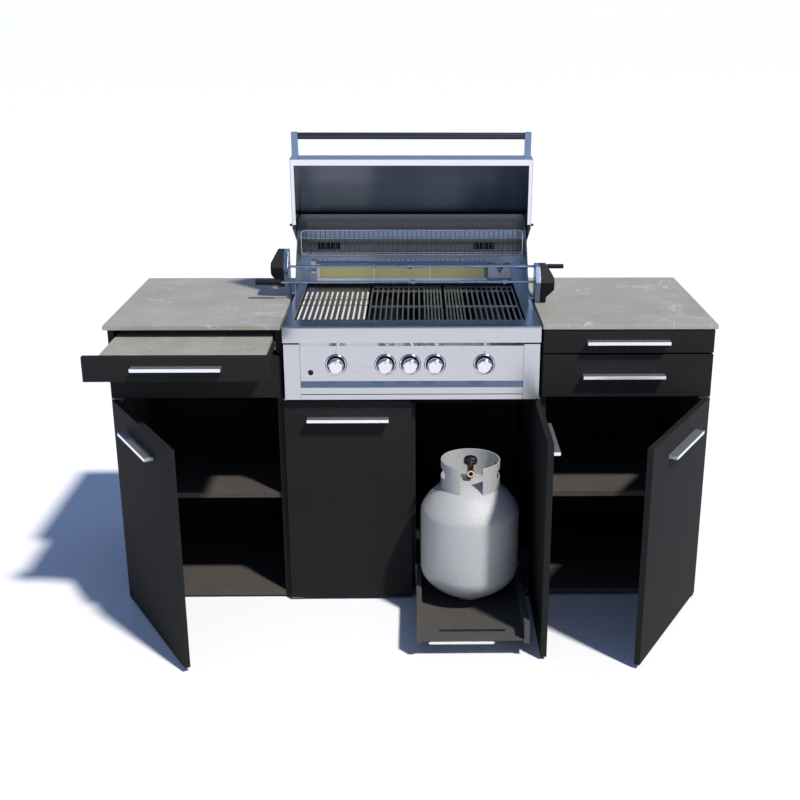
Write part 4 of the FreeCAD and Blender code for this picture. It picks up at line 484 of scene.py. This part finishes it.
# %% [markdown]
# Painted and moulded parts: the bottle's grey enamel is sprayed thickly, so its skin is finely
# hammered and sparkles where the light strikes; the motors, grips and feet are black plastic; the
# hood's handle and the handwheel are black enamel; the gaps round the knobs and the vents get a
# near-black painted shade; the valve is cast brass with a pale bronze ring.

# %% Paint, plastic and brass
def coated(name, tint, rough, coat, skin_size, skin, gloss=0.5):
    """Paint or plastic whose skin ripples skin_size times a metre, with skin as the ripple's strength."""
    material, s, surface, place = finish(name)
    worn = s.group(marks, Vector=place, Size=12.0, Contrast=0.8)
    rippled = s.noise(place, skin_size, 2.0)
    surface.inputs["Coat Roughness"].default_value = 0.1
    surface.inputs["Specular IOR Level"].default_value = gloss
    wire(s, surface, Base_Color=s.mix(worn["Mask"], shade(tint, 0.9), shade(tint, 1.1)),
         Roughness=s.math("ADD", rough, s.math("MULTIPLY", worn["Mask"], 0.08)),
         Coat_Weight=coat, Normal=s.bump(rippled, skin, 0.0025))
    return material


bottle_enamel = coated("bottle_enamel", (0.43, 0.43, 0.42), 0.2, 0.0, 230.0, 0.9)
black_plastic = coated("black_plastic", (0.0105, 0.0105, 0.0115), 0.5, 0.0, 1600.0, 0.08, 0.15)
# Painted shade: near black, for the knobs' gaps and the vents.
painted_shade_black = coated("painted_shade_black", (0.003, 0.003, 0.004), 0.6, 0.0, 400.0, 0.04, 0.1)
pale_bronze = coated("pale_bronze", (0.92, 0.72, 0.6), 0.25, 0.3, 300.0, 0.02)
black_enamel = coated("black_enamel", (0.01, 0.01, 0.012), 0.28, 0.2, 500.0, 0.03)
cast_brass, s, surface, place = finish("cast_brass")
cast = s.group(marks, Vector=place, Size=90.0, Contrast=1.2)
wire(s, surface, Metallic=1.0, Base_Color=s.mix(cast["Mask"], (0.12, 0.075, 0.045, 1), (0.42, 0.26, 0.17, 1)),
     Roughness=s.math("ADD", 0.2, s.math("MULTIPLY", cast["Mask"], 0.2)),
     Normal=s.bump(cast["Height"], 0.15, 0.0004))

seamless, s, surface, place = finish("seamless_floor")
wire(s, surface, Base_Color=(0.83, 0.83, 0.83, 1), Roughness=0.8)
floor.data.materials.append(seamless)
print(len(bpy.data.materials), "finishes")

# %% [markdown]
# ## Dressing the solids
#
# The solid model has perfectly sharp edges, and a sharp edge never catches the light. So each
# plain node is copied, its loose triangles are joined into one closed shell for each solid, and a
# Bevel modifier rounds the edges by as little as the real ones are. The solids could be modelled
# again by hand, but a copy keeps every hole and every fit exactly where the solid model has it.

# %% Split a node into shells
def shells(mesh):
    """Groups of triangles that close: triangles are taken in order until no edge is left open."""
    points = np.zeros(len(mesh.vertices) * 3)
    mesh.vertices.foreach_get("co", points)
    keys = np.round(points.reshape(-1, 3) * 1e6).astype(np.int64)
    _, first, index = np.unique(keys, axis=0, return_index=True, return_inverse=True)
    corners = np.zeros(len(mesh.loops), int)
    mesh.loops.foreach_get("vertex_index", corners)
    triangles = index.reshape(-1)[corners].reshape(-1, 3)
    places = points.reshape(-1, 3)[first]
    groups, current, open_edges = [], [], set()
    for triangle in triangles.tolist():
        current.append(triangle)
        for a, b in ((0, 1), (1, 2), (2, 0)):
            edge = (triangle[a], triangle[b])
            if (edge[1], edge[0]) in open_edges:
                open_edges.remove((edge[1], edge[0]))
            else:
                open_edges.add(edge)
        if not open_edges:
            groups.append(current)
            current = []
    if current:
        groups.append(current)
    return places, groups


print("the hood has", len(shells(frame["nodes"]["hood"].data)[1]), "closed shells")

# %% [markdown]
# Every piece then takes the same few steps: a material, smooth shading up to a chosen angle, a
# place in the scene, the body that it rides on, and the node that it stands for. The bevel uses the
# same angle, so a fold is rounded exactly where the shading would otherwise break.

# %% Put a mesh on its body
EDGE_ANGLE = 32
SHEET_ANGLE = 15
WIRE_ANGLE = 70


def place_piece(name, mesh, material, node, replaces=True, slot=None, sharp=EDGE_ANGLE):
    """Puts a finished mesh in the scene, on the body of the node that it stands for or sits on."""
    mesh.materials.clear()
    mesh.materials.append(material)
    mesh.polygons.foreach_set("use_smooth", np.ones(len(mesh.polygons), bool))
    mesh.set_sharp_from_angle(angle=math.radians(sharp))
    piece = bpy.data.objects.new(name, mesh)
    bpy.context.scene.collection.objects.link(piece)
    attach(piece, frame["nodes"][node]["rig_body"])
    if replaces:
        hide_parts(node)
    return piece


def round_edges(piece, width, segments=2, angle=EDGE_ANGLE):
    """A bevel of a width in metres on every edge sharper than the angle."""
    bevel = piece.modifiers.new("rounded_edges", "BEVEL")
    bevel.width = width
    bevel.segments = segments
    bevel.limit_method = "ANGLE"
    bevel.angle_limit = math.radians(angle)
    bevel.harden_normals = True


print("edges sharper than", EDGE_ANGLE, "degrees are rounded")

# %% [markdown]
# One solid sometimes holds two finishes, such as a steel bracket welded to a black tube. The shell
# is then cut by a plane and each side is closed with a flat cap, so that both halves stay solid.

# %% Cut a shell in two
def cut_off(part, axis, at, above):
    """Keeps the part of a shell on one side of a plane across an axis, and caps the cut."""
    normal = [0.0, 0.0, 0.0]
    normal["xyz".index(axis)] = 1.0
    middle = [value * at for value in normal]
    everything = part.verts[:] + part.edges[:] + part.faces[:]
    cut = bmesh.ops.bisect_plane(part, geom=everything, plane_co=middle, plane_no=normal,
                                 clear_inner=above, clear_outer=not above)
    rim = [item for item in cut["geom_cut"] if isinstance(item, bmesh.types.BMEdge)]
    bmesh.ops.holes_fill(part, edges=rim, sides=0)


print("a cut is closed with a flat cap")

# %% [markdown]
# Now a node can be dressed in one call. Its shells are rebuilt one by one, cut where asked, and
# their flat triangles are merged, since a bevel needs real edges. Then they become one piece.

# %% Dress a node
def dressed(node, material, width=0.6, segments=2, keep=None, cuts=(), name=None, replaces=True, slot=None,
            angle=EDGE_ANGLE):
    """A copy of a node's shells, or of the numbered ones, with edges rounded by a width in mm."""
    places, groups = shells(frame["nodes"][node].data)
    whole = bmesh.new()
    for number, triangles in enumerate(groups):
        if keep is not None and number not in keep:
            continue
        part = bmesh.new()
        used = sorted({corner for triangle in triangles for corner in triangle})
        made = {corner: part.verts.new(places[corner]) for corner in used}
        for triangle in triangles:
            if len(set(triangle)) == 3:
                part.faces.new([made[corner] for corner in triangle])
        for axis, at, above in cuts:
            cut_off(part, axis, at * MM, above)
        bmesh.ops.dissolve_limit(part, angle_limit=math.radians(0.4), verts=part.verts, edges=part.edges)
        holder = bpy.data.meshes.new("shell")
        part.to_mesh(holder)
        part.free()
        whole.from_mesh(holder)
        bpy.data.meshes.remove(holder)
    name = name or node + "_dressed"
    mesh = bpy.data.meshes.new(name)
    whole.to_mesh(mesh)
    whole.free()
    piece = place_piece(name, mesh, material, node, replaces, slot, angle)
    round_edges(piece, width * MM, segments, angle)
    return piece


print("ready to dress", len(frame["nodes"]), "nodes")

# %% [markdown]
# ### Plain parts
#
# These nodes need only softer edges and the right finish. The width beside each finish is in mm:
# boards get a little over half a millimetre, the stone slabs twice that, sheet steel less than its
# own thickness, and the bar handles 0.8 mm, which is what makes their front edge shine as a white
# line.

# %% Dress the plain parts
BAR_HANDLES = [node for node in frame["nodes"] if node.endswith("_handle") and node != "hood_handle"]
PLAIN_PARTS = [
    (front_board, 0.7, ["left_door", "right_door", "centre_door", "gas_bay_door", "board_slide_front",
                        "left_drawer_front", "right_upper_drawer_front", "right_lower_drawer_front"]),
    (case_board_painted_light, 0.6, ["end_panels", "partitions", "back_panel", "board_slide_frame",
                       "left_drawer_box", "right_upper_drawer_box", "right_lower_drawer_box"]),
    (rail_board_painted_shade, 0.6, ["support_rails"]),
    (shelf_board_painted_light, 0.6, ["bottom_boards", "shelves"]),
    (tray_coat_painted_light, 0.5, ["gas_tray"]),
    (stone, 1.2, ["worktops", "chopping_board"]),
    (handle_face, 0.8, BAR_HANDLES),
    (runner_zinc, 0.3, ["runner_channels"]),
    (dull_steel, 0.5, ["door_pivot_brackets", "gas_manifold"]),
    (near_black_steel, 0.4, ["firebox", "main_burners", "flame_tamers"]),
    (steel_along, 0.5, ["barbecue_deck", "grease_tray"]),
    (grate_bars, 1.3, ["cooking_grates"]),
    (plate_ribs, 0.7, ["slotted_plate"]),
    (black_plastic, 0.8, ["levelling_feet"]),
    (cast_brass, 0.5, ["bottle_valve"]),
    (bottle_enamel, 1.2, ["bottle_collar"]),
]
for material, width, names in PLAIN_PARTS:
    for node in names:
        dressed(node, material, width)
print(sum(len(names) for _, _, names in PLAIN_PARTS), "plain parts")

# %% [markdown]
# ### Parts in two finishes
#
# The hood is steel with bright rims, two black pins at its sides and a lining coloured with painted
# shade and a painted sky reflection. The lining is every face of the sheet that looks at the hinge
# line and not along it, so those faces get a second material and the sheet stays one piece. The
# hood's handle is a black tube between steel brackets.

# %% Dress the hood
HOOD_SHEETS, HOOD_RIMS, HOOD_PINS = (0, 1, 2, 5, 6), (4, 8, 9), (3, 7)
BRACKET_SEAM = 353.9
hood_shell = dressed("hood", hood_steel, 0.5, keep=HOOD_SHEETS)
hood_shell.data.materials.append(hood_lining_painted_shade)
HINGE = Vector((0, 0.098, 1.01))
for face in hood_shell.data.polygons:
    towards_hinge = face.normal.dot(HINGE - face.center) > 0
    face.material_index = int(towards_hinge and abs(face.normal.x) < 0.7)
dressed("hood", pale_steel, 0.5, keep=HOOD_RIMS, name="hood_rims")
dressed("hood", black_plastic, 0.8, keep=HOOD_PINS, name="hood_stop_pins", slot="black_plastic")
dressed("hood_handle", black_enamel, 0.6, cuts=(("x", -BRACKET_SEAM, True), ("x", BRACKET_SEAM, False)),
        name="hood_handle_tube")
dressed("hood_handle", bracket_steel_painted_sky, 0.8, cuts=(("x", -BRACKET_SEAM, False),), name="hood_bracket_left",
        slot="steel")
dressed("hood_handle", bracket_steel_painted_sky, 0.8, cuts=(("x", BRACKET_SEAM, True),), name="hood_bracket_right",
        slot="steel")
print(sum(face.material_index for face in hood_shell.data.polygons), "lining faces")

# %% [markdown]
# Each spit motor is a black box with sloping corners on a steel bracket, and each spit is a steel
# rod that ends in a black grip. A motor's seam gives the number of its shell; each seam then says
# where along x the two finishes meet, and whether the black side lies above that place.

# %% Dress the motors and the spits
MOTOR_SEAMS = {"left": (0, -417.0, False), "right": (1, 411.0, True)}
GRIP_SEAMS = {"upper": (440.9, True), "lower": (-423.9, False)}
for side, (number, seam, above) in MOTOR_SEAMS.items():
    dressed("rotisserie_motors", black_plastic, 1.2, keep=(number,), cuts=(("x", seam, above),),
            name="motor_box_" + side, angle=SHEET_ANGLE)
    dressed("rotisserie_motors", bracket_steel_painted_sky, 0.8, keep=(number,), cuts=(("x", seam, not above),),
            name="motor_bracket_" + side, slot="steel", angle=SHEET_ANGLE)
for level, (seam, above) in GRIP_SEAMS.items():
    node = level + "_spit"
    dressed(node, spit_steel_painted_sky, 0.4, cuts=(("x", seam, not above),), name=node + "_rod")
    dressed(node, black_plastic, 1.5, cuts=(("x", seam, above),), name=node + "_grip", slot="black_plastic")
print(len(MOTOR_SEAMS), "motors and", len(GRIP_SEAMS), "spits")

# %% [markdown]
# The front and the back of the barbecue are folded sheets. Their solids stay, while the rings round
# the knobs and the burner's tiles are made again further on. The wall and its cheeks carry painted
# shade and a painted sky reflection, the shell behind them is plain steel. Shells are picked by
# number, in the order in which a node holds them.

# %% Dress the sheets of the barbecue
PANEL_SHEETS, PANEL_PILLARS = (0, 6), (7, 8, 9, 10)
HOUSING_WALL, HOUSING_BACK = (0, 1, 2, 3, 4), (5, 6, 7)
BURNER_FRAME, BURNER_GUARD = (0,), (4, 5, 6)
dressed("control_panel", steel_along, 0.4, keep=PANEL_SHEETS, angle=SHEET_ANGLE)
dressed("control_panel", steel_upright, 0.5, keep=PANEL_PILLARS, name="fascia_pillars")
dressed("rear_housing", painted_shade_wall, 0.4, keep=HOUSING_WALL)
dressed("rear_housing", steel_along, 0.4, keep=HOUSING_BACK, name="rear_shell")
dressed("rear_burner", bracket_steel_painted_sky, 0.6, keep=BURNER_FRAME)
dressed("rear_burner", pale_steel, 0.5, keep=BURNER_GUARD, name="notched_guard")

# %% [markdown]
# ## Surfaces from formulas
#
# The remaining pieces are round, bent or domed, and each is a short formula. A piece is a grid of
# points, rows by columns, worked out as whole arrays. Neighbouring points make the faces. Where a
# whole row meets in one point, as at a pole, the doubles are merged and the surface closes there.

# %% Turn grids of points into a piece
def grid_mesh(name, grids, rings=False):
    """Faces between neighbours of each grid; columns always close up, rows too where rings is set."""
    points, faces, offset = [], [], 0
    for grid in grids:
        rows, columns = grid.shape[:2]
        index = np.arange(rows * columns).reshape(rows, columns) + offset
        index = np.hstack([index, index[:, :1]])
        if rings:
            index = np.vstack([index, index[:1]])
        squares = np.stack([index[:-1, :-1], index[1:, :-1], index[1:, 1:], index[:-1, 1:]], axis=-1)
        points.append(grid.reshape(-1, 3))
        faces.append(squares.reshape(-1, 4))
        offset += rows * columns
    mesh = bpy.data.meshes.new(name)
    mesh.from_pydata(np.vstack(points).tolist(), [], np.vstack(faces).tolist())
    shape = bmesh.new()
    shape.from_mesh(mesh)
    bmesh.ops.remove_doubles(shape, verts=shape.verts, dist=2e-6)
    bmesh.ops.dissolve_degenerate(shape, dist=1e-6, edges=shape.edges)
    bmesh.ops.recalc_face_normals(shape, faces=shape.faces)
    shape.to_mesh(mesh)
    shape.free()
    return mesh


def place_grids(name, grids, material, node, rings=False, **settings):
    """Makes a piece from its grids and places it like any other."""
    return place_piece(name, grid_mesh(name, grids, rings), material, node, **settings)


print("grids become closed pieces")

# %% [markdown]
# Three kinds of grid are enough here. The first is the lathe, which turns a profile round an axis:
# bottle, knobs and rings are made this way in the workshop too. An arc helps to draw profiles.

# %% Turn a profile
def lathe(profile, centre, axis, turns=72, lobes=0, depth=0.0):
    """A profile of (radius, height) pairs in mm, carried round an axis through a centre.

    Point = centre + height * axis + radius * (cos t * side + sin t * other), with t once round.
    With lobes, the radius also swells and shrinks as 1 + depth * cos(lobes * t).
    """
    profile = np.array(profile, float)
    frames = {"x": ((1, 0, 0), (0, 1, 0), (0, 0, 1)), "y": ((0, 1, 0), (0, 0, 1), (1, 0, 0)),
              "z": ((0, 0, 1), (1, 0, 0), (0, 1, 0))}
    along, side, other = [np.array(v, float) for v in frames[axis]]
    t = np.linspace(0, 2 * np.pi, turns, endpoint=False)
    round_it = np.cos(t)[:, None] * side + np.sin(t)[:, None] * other
    swell = 1 + depth * np.cos(lobes * t)
    reach = profile[:, 0, None] * swell[None, :]
    rise = profile[:, 1, None, None] * along
    return (np.array(centre, float) + rise + reach[..., None] * round_it) * MM


def arc(centre, radius, start, end, steps):
    """Points of a circle's arc in a profile: centre + radius * (cos a, sin a), a from start to end."""
    a = np.radians(np.linspace(start, end, steps))
    return np.column_stack([centre[0] + radius * np.cos(a), centre[1] + radius * np.sin(a)])


print("a quarter arc ends at", arc((0, 0), 1, 0, 90, 5)[-1].round(3))

# %% [markdown]
# The second kind is the tube, a circle carried along a bent line, for everything made of wire.

# %% Bend a wire
def tube(path, radius, across, sides=12):
    """A round wire along a flat path in mm; across is the unit vector square to the path's plane.

    Point = path + radius * (cos t * across + sin t * other), where other = tangent x across. Each
    end closes in its middle point.
    """
    path = np.array(path, float)
    across = np.array(across, float)
    tangent = np.gradient(path, axis=0)
    tangent /= np.linalg.norm(tangent, axis=1)[:, None]
    other = np.cross(tangent, across)
    t = np.linspace(0, 2 * np.pi, sides, endpoint=False)
    circle = np.cos(t)[None, :, None] * across + np.sin(t)[None, :, None] * other[:, None]
    skin = path[:, None] + radius * circle
    first = np.repeat(path[:1, None], sides, axis=1)
    last = np.repeat(path[-1:, None], sides, axis=1)
    return np.concatenate([first, skin, last]) * MM


print("a wire of two points has", tube([(0, 0, 0), (1, 0, 0)], 0.1, (0, 1, 0)).shape[:2], "points")

# %% [markdown]
# The third kind is the slab, for tiles, strips and dashes. It is a block whose outline has rounded
# corners and whose face is softly crowned, like anything pressed or worn.

# %% Press a slab
def slab(low, high, crown, power=8.0, turns=40, face="-y"):
    """A block in mm with rounded corners and a gently crowned face towards -y or up.

    Each ring is the curve |u|^power + |v|^power = 1, scaled to the block and shrunk towards the
    middle of the crowned face as sqrt(1 - s^2) rises there.
    """
    low, high = np.array(low, float), np.array(high, float)
    t = np.linspace(0, 2 * np.pi, turns, endpoint=False)
    u = np.sign(np.cos(t)) * np.abs(np.cos(t)) ** (2 / power)
    v = np.sign(np.sin(t)) * np.abs(np.sin(t)) ** (2 / power)
    flat, up = (1, 2) if face == "-y" else (2, 1)
    depth = high[flat] - low[flat]
    scale = np.array([0.0, 1.0, 1.0, 0.985, 0.93, 0.8, 0.55, 0.25, 0.0])
    dome = crown * np.sqrt(np.maximum(1 - scale[3:] ** 2, 0))
    level = np.concatenate([[0, 0, depth - crown], depth - crown + dome])
    grid = np.zeros((len(scale), turns, 3))
    middle, half = (low + high) / 2, (high - low) / 2
    grid[..., 0] = middle[0] + half[0] * scale[:, None] * u
    grid[..., up] = middle[up] + half[up] * scale[:, None] * v
    grid[..., flat] = (high[flat] - level[:, None]) if face == "-y" else (low[flat] + level[:, None])
    return grid * MM


print("a slab has", slab((0, 0, 0), (1, 1, 1), 0.1).shape[:2], "points")

# %% [markdown]
# ### Gas bottle
#
# A gas bottle is two deep-drawn heads and a wall, welded into one shell. A head isn't half a
# ball: it has a wide crown and a tighter knuckle where it turns into the wall, and both are arcs
# that meet without a corner. The whole outline is turned round the bottle's axis, and a small foot
# ring is turned under it.

# %% Turn the bottle
BOTTLE_FOOT = (177.5, -400.0, 62.0)
BOTTLE_RADIUS = 152.4
LOWER_HEAD = {"rise": 104, "knuckle": 65}
UPPER_HEAD = {"rise": 108, "knuckle": 40}
WALL_LOW, WALL_HIGH = 106, 288
HEAD_STEPS = 22


def head(rise, knuckle, steps):
    """Half of a pressed head as (radius, height) from its rim to its pole: knuckle, then crown."""
    inset = BOTTLE_RADIUS - knuckle
    crown = (inset ** 2 + rise ** 2 - knuckle ** 2) / (2 * (rise - knuckle))
    turn = math.degrees(math.asin(inset / (crown - knuckle)))
    corner = arc((inset, 0), knuckle, 0, 90 - turn, steps)
    dome = arc((0, rise - crown), crown, 90 - turn, 90, steps)
    return np.vstack([corner, dome[1:]])


lower = head(**LOWER_HEAD, steps=HEAD_STEPS) * (1, -1) + (0, WALL_LOW)
upper = head(**UPPER_HEAD, steps=HEAD_STEPS) + (0, WALL_HIGH)
wall = np.column_stack([np.full(8, BOTTLE_RADIUS), np.linspace(WALL_LOW, WALL_HIGH, 10)[1:-1]])
outline = np.vstack([lower[::-1], wall, upper])
outline[0, 0] = outline[-1, 0] = 0.0
foot_ring = [(47, 12), (47, 1), (48, 0), (49, 0), (50, 1), (50, 12)]
place_grids("gas_bottle_shell", [lathe(outline, BOTTLE_FOOT, "z", 128)], bottle_enamel, "gas_bottle")
place_grids("gas_bottle_foot", [lathe(foot_ring, BOTTLE_FOOT, "z", 96)], bottle_enamel, "gas_bottle",
            rings=True)
print("bottle outline has", len(outline), "points")

# %% [markdown]
# The valve is opened by a black handwheel. Its rim swells in and out so that fingers can hold it,
# and its top is domed. On the valve's outlet sits a pale turned ring.

# %% Make the handwheel and the outlet ring
wheel_profile = np.vstack([[(0, 442), (19.6, 442), (20.8, 443)], arc((18.6, 450.5), 2.6, 0, 50, 6),
                           arc((0, 433.4), 32.4, 55, 90, 12)])
wheel_profile[-1, 0] = 0.0
lobed = lathe(wheel_profile, BOTTLE_FOOT, "z", 96, lobes=8, depth=0.02)
place_grids("valve_wheel", [lobed], black_enamel, "valve_handwheel")
OUTLET = (177.5, -434.0, 481.0)
outlet_profile = arc((8.6, 1.2), 1.9, 0, 345, 24)
place_grids("outlet_ring", [lathe(outlet_profile, OUTLET, "y", 48)], pale_bronze, "bottle_valve",
            rings=True, replaces=False)
print("handwheel", 2 * wheel_profile[:, 0].max(), "mm across")

# %% [markdown]
# ### Knobs, rings and button
#
# A knob is a turned steel cylinder with a wide rounded front edge and a shallow dish in its face. It
# stands in a separate ring, with a dark gap between the two and a dark line outside, both painted
# shade. All are short profiles turned round an axis that points at the cook. The round edge matters
# most: above, it mirrors the blue sky, and below, the white floor.

# %% Turn the knobs and their rings
KNOB_PLACES = {"knob_1": -229.5, "knob_2": -80.5, "knob_3": -5.5, "knob_4": 69.5, "knob_5": 218.5}
KNOB_HEIGHT = 800.0
PANEL_FACE = -337.0
KNOB_BACK = -341.5
POINTER_BACK, POINTER_FRONT = -365.2, -366.4
knob_profile = np.vstack([[(0, -26), (5, -26), (5, 0), (22.8, 0), (24, 1.2)], arc((16, 17), 8, 0, 90, 12),
                          [(14.5, 24.8), (9, 24.5), (0, 24.4)]])
ring_profile = [(26.8, 0), (26.8, 2.0), (27.6, 3.2), (28.8, 3.9), (30.2, 4.0), (31.4, 3.3), (32.2, 2.0),
                (32.2, 0)]
# Painted shade: the dark disc behind each knob and the dark line round its ring.
GAP_PROFILES = [[(5.0, 0), (5.0, 0.5), (26.9, 0.5), (26.9, 0)],
                [(32.1, 0), (32.1, 0.7), (33.0, 0.7), (33.0, 0)]]
for node, x in KNOB_PLACES.items():
    turned = lathe(knob_profile * (1, -1), (x, KNOB_BACK, KNOB_HEIGHT), "y", 96)
    place_grids(node + "_turned", [turned], bright_steel, node)
    line = slab((x - 1.1, POINTER_FRONT, KNOB_HEIGHT + 10), (x + 1.1, POINTER_BACK, KNOB_HEIGHT + 16),
                0.2, 4.0, 16)
    place_grids(node + "_pointer", [line], black_enamel, node, replaces=False, slot="black_metal")
    ring = lathe(np.array(ring_profile) * (1, -1), (x, PANEL_FACE, KNOB_HEIGHT), "y", 96)
    place_grids(node + "_ring", [ring], bright_steel, "control_panel", rings=True)
    gaps = [lathe(np.array(profile) * (1, -1), (x, PANEL_FACE, KNOB_HEIGHT), "y", 72)
            for profile in GAP_PROFILES]
    place_grids(node + "_gap_painted_shade", gaps, painted_shade_black, "control_panel", rings=True, replaces=False,
                slot="black_metal")
print(len(KNOB_PLACES), "knobs")

# %% [markdown]
# A short tick over a knob shows where it is off; the middle knob has none. The igniter is a small
# black button with a domed front, left of the knobs and a little lower.

# %% Mark the off places and turn the button
BUTTON_PLACE = (-307, -323, 775)
ticks = [slab((x - 0.9, -337.3, 836), (x + 0.9, -336.5, 841), 0.1, 4.0, 12)
         for node, x in KNOB_PLACES.items() if node != "knob_3"]
place_grids("off_marks", ticks, black_enamel, "control_panel", replaces=False, slot="black_metal")
button_profile = [(0, 0), (7.2, 0), (8, -1.0), (8, -16), (7.0, -18.2), (5.0, -19.6), (2.5, -20), (0, -20)]
button = lathe(button_profile, BUTTON_PLACE, "y", 48)
place_grids("igniter_domed", [button], black_plastic, "igniter_button")
print(len(ticks), "ticks and a button")

# %% [markdown]
# ### Warming rack
#
# The rack is bent and welded from wire. One long wire makes the frame, with rounded corners at the
# top, and is closed by an equal wire below. Two thinner wires run along inside it, and a comb of
# uprights joins them. The uprights are darker and bluish, so they are a piece of their own. Every
# wire is a circle carried along its line.

# %% Bend the rack's wires
RACK_Y = 150.0
RACK_HALF = 369.5
RACK_LOW, RACK_HIGH = 1038.0, 1120.0
RACK_MIDDLE = 1094.0
RACK_INNER = 1044.5
FRAME_WIRE, INNER_WIRE, UPRIGHT_WIRE = 2.5, 1.8, 1.3
UPRIGHT_PITCH = 16
CORNER = 14.0
ACROSS = (0, 1, 0)
bend = arc((RACK_HALF - CORNER, RACK_HIGH - CORNER), CORNER, 0, 90, 9)
half_frame = np.vstack([[(RACK_HALF, RACK_LOW), (RACK_HALF, RACK_HIGH - CORNER - 0.5)], bend])
frame_line = np.vstack([half_frame, half_frame[::-1] * (-1, 1)])


def wire_at(line, radius, sides=10):
    """A round wire along a line of (x, z) pairs in the rack's plane."""
    line = np.array(line, float)
    return tube(np.column_stack([line[:, 0], np.full(len(line), RACK_Y), line[:, 1]]), radius, ACROSS, sides)


wires = [wire_at(frame_line, FRAME_WIRE)]
for z, radius in ((RACK_MIDDLE, INNER_WIRE), (RACK_INNER, INNER_WIRE), (RACK_LOW, FRAME_WIRE)):
    wires.append(wire_at([(-RACK_HALF, z), (0, z), (RACK_HALF, z)], radius))
place_grids("rack_wires", wires, rack_steel, "warming_rack", sharp=WIRE_ANGLE)
uprights = [wire_at([(x, RACK_LOW), (x, RACK_MIDDLE), (x, RACK_HIGH)], UPRIGHT_WIRE, 6)
            for x in np.arange(-352, 353, UPRIGHT_PITCH)]
place_grids("rack_uprights", uprights, upright_steel, "warming_rack", sharp=WIRE_ANGLE)
print(len(wires), "long wires and", len(uprights), "uprights")

# %% [markdown]
# ### Rear burner
#
# Three fireclay tiles glow when the rear burner is lit. Each is a block with rounded corners whose
# face is slightly crowned, set in the steel frame with a yellow seam between neighbours, a cream
# rail in front of their feet and another at the left end, where two small clips hold the frame; the
# clips are near white as a painted highlight. Above it the rear wall has a row of small punched slots
# that let the hot air out.

# %% Press the burner's tiles
TILES = [(-313, -136), (-127, 56), (65, 252)]
SEAMS = (-131.5, 60.5)
TILE_FOOT, TILE_TOP = 934, 986
SLOT_PITCH = 16.9
SLOT_FOOT, SLOT_TOP = 996.2, 1000.4
tiles = [slab((low, 230.0, TILE_FOOT), (high, 244, TILE_TOP), 1.2, 26.0, 56) for low, high in TILES]
place_grids("burner_tiles", tiles, fireclay, "rear_burner", slot="stone")
seams = [slab((x - 4.4, 227.6, TILE_FOOT + 2), (x + 4.4, 231, TILE_TOP + 1), 0.4, 12.0, 24) for x in SEAMS]
place_grids("burner_seams", seams, kiln_seam, "rear_burner", replaces=False, slot="stone")
rails = [slab((-327.5, 226.8, 931.5), (256.5, 229.5, 942.5), 0.4, 20.0, 40),
         slab((-327.5, 227.0, 943.2), (-314.0, 229.5, 989.5), 0.4, 14.0, 24),
         # Painted highlight: the two clips are near white.
         slab((-347, 232, 984), (-328.3, 247.9, 1000), 0.6, 10.0, 24),
         slab((-347, 232, 957), (-328.3, 247.9, 965), 0.6, 10.0, 24)]
place_grids("burner_rails", rails, cream_rail, "rear_burner", replaces=False, slot="steel")
slots = [slab((x - 4.8, 247.0, SLOT_FOOT), (x + 4.8, 248.6, SLOT_TOP), 0.3, 3.0, 12)
         for x in np.arange(-318, 258, SLOT_PITCH)]
place_grids("heat_slots", slots, pale_steel, "rear_housing", replaces=False)
print(len(TILES), "tiles and", len(slots), "slots")

# %% [markdown]
# Higher up the wall has two vents, left and right. From the front each reads as a row of upright
# dark openings, so seven near-black bars of painted shade stand over a near-black sheet of painted
# shade that closes the view behind the wall.

# %% Darken the vents
VENT_CENTRES = (-284, 246)
VENT_FOOT, VENT_TOP = 1037.5, 1061.5
BAR_OFFSETS = np.arange(-33, 34, 11)
vents = [slab((x + offset - 3.6, 247.2, VENT_FOOT), (x + offset + 3.6, 248.8, VENT_TOP), 0.2, 6.0, 16)
         for x in VENT_CENTRES for offset in BAR_OFFSETS]
vents += [slab((x - 37, 250.2, VENT_FOOT - 1), (x + 37, 251.6, VENT_TOP + 1), 0.2, 12.0, 24)
          for x in VENT_CENTRES]
place_grids("vent_painted_shade_bars", vents, painted_shade_black, "rear_housing", replaces=False, slot="black_metal")
print(len(VENT_CENTRES), "vents of", len(BAR_OFFSETS), "bars")

# %% [markdown]
# ### Slotted plate
#
# Between the ribs of the left plate lie pale strips, painted light on the slots' floors. They lie
# just under the plate's face, thin and rounded, in three lengths.

# %% Lay the strips in the plate's slots
STRIP_HALF = 2.8
STRIP_FOOT, STRIP_TOP = 903.0, 908.9
SLOT_PLACES = -353.0 + 17.0 * np.arange(13)
SECTIONS = ((-216.8, -35.7), (-26.3, 45.3), (54.7, 157.8))
strips = [slab((x - STRIP_HALF, low, STRIP_FOOT), (x + STRIP_HALF, high, STRIP_TOP), 0.2, 14.0, 20, "up")
          for x in SLOT_PLACES for low, high in SECTIONS]
place_grids("slot_painted_light_strips", strips, slot_painted_light, "slotted_plate", replaces=False, slot="grate_metal")
print(len(strips), "strips")
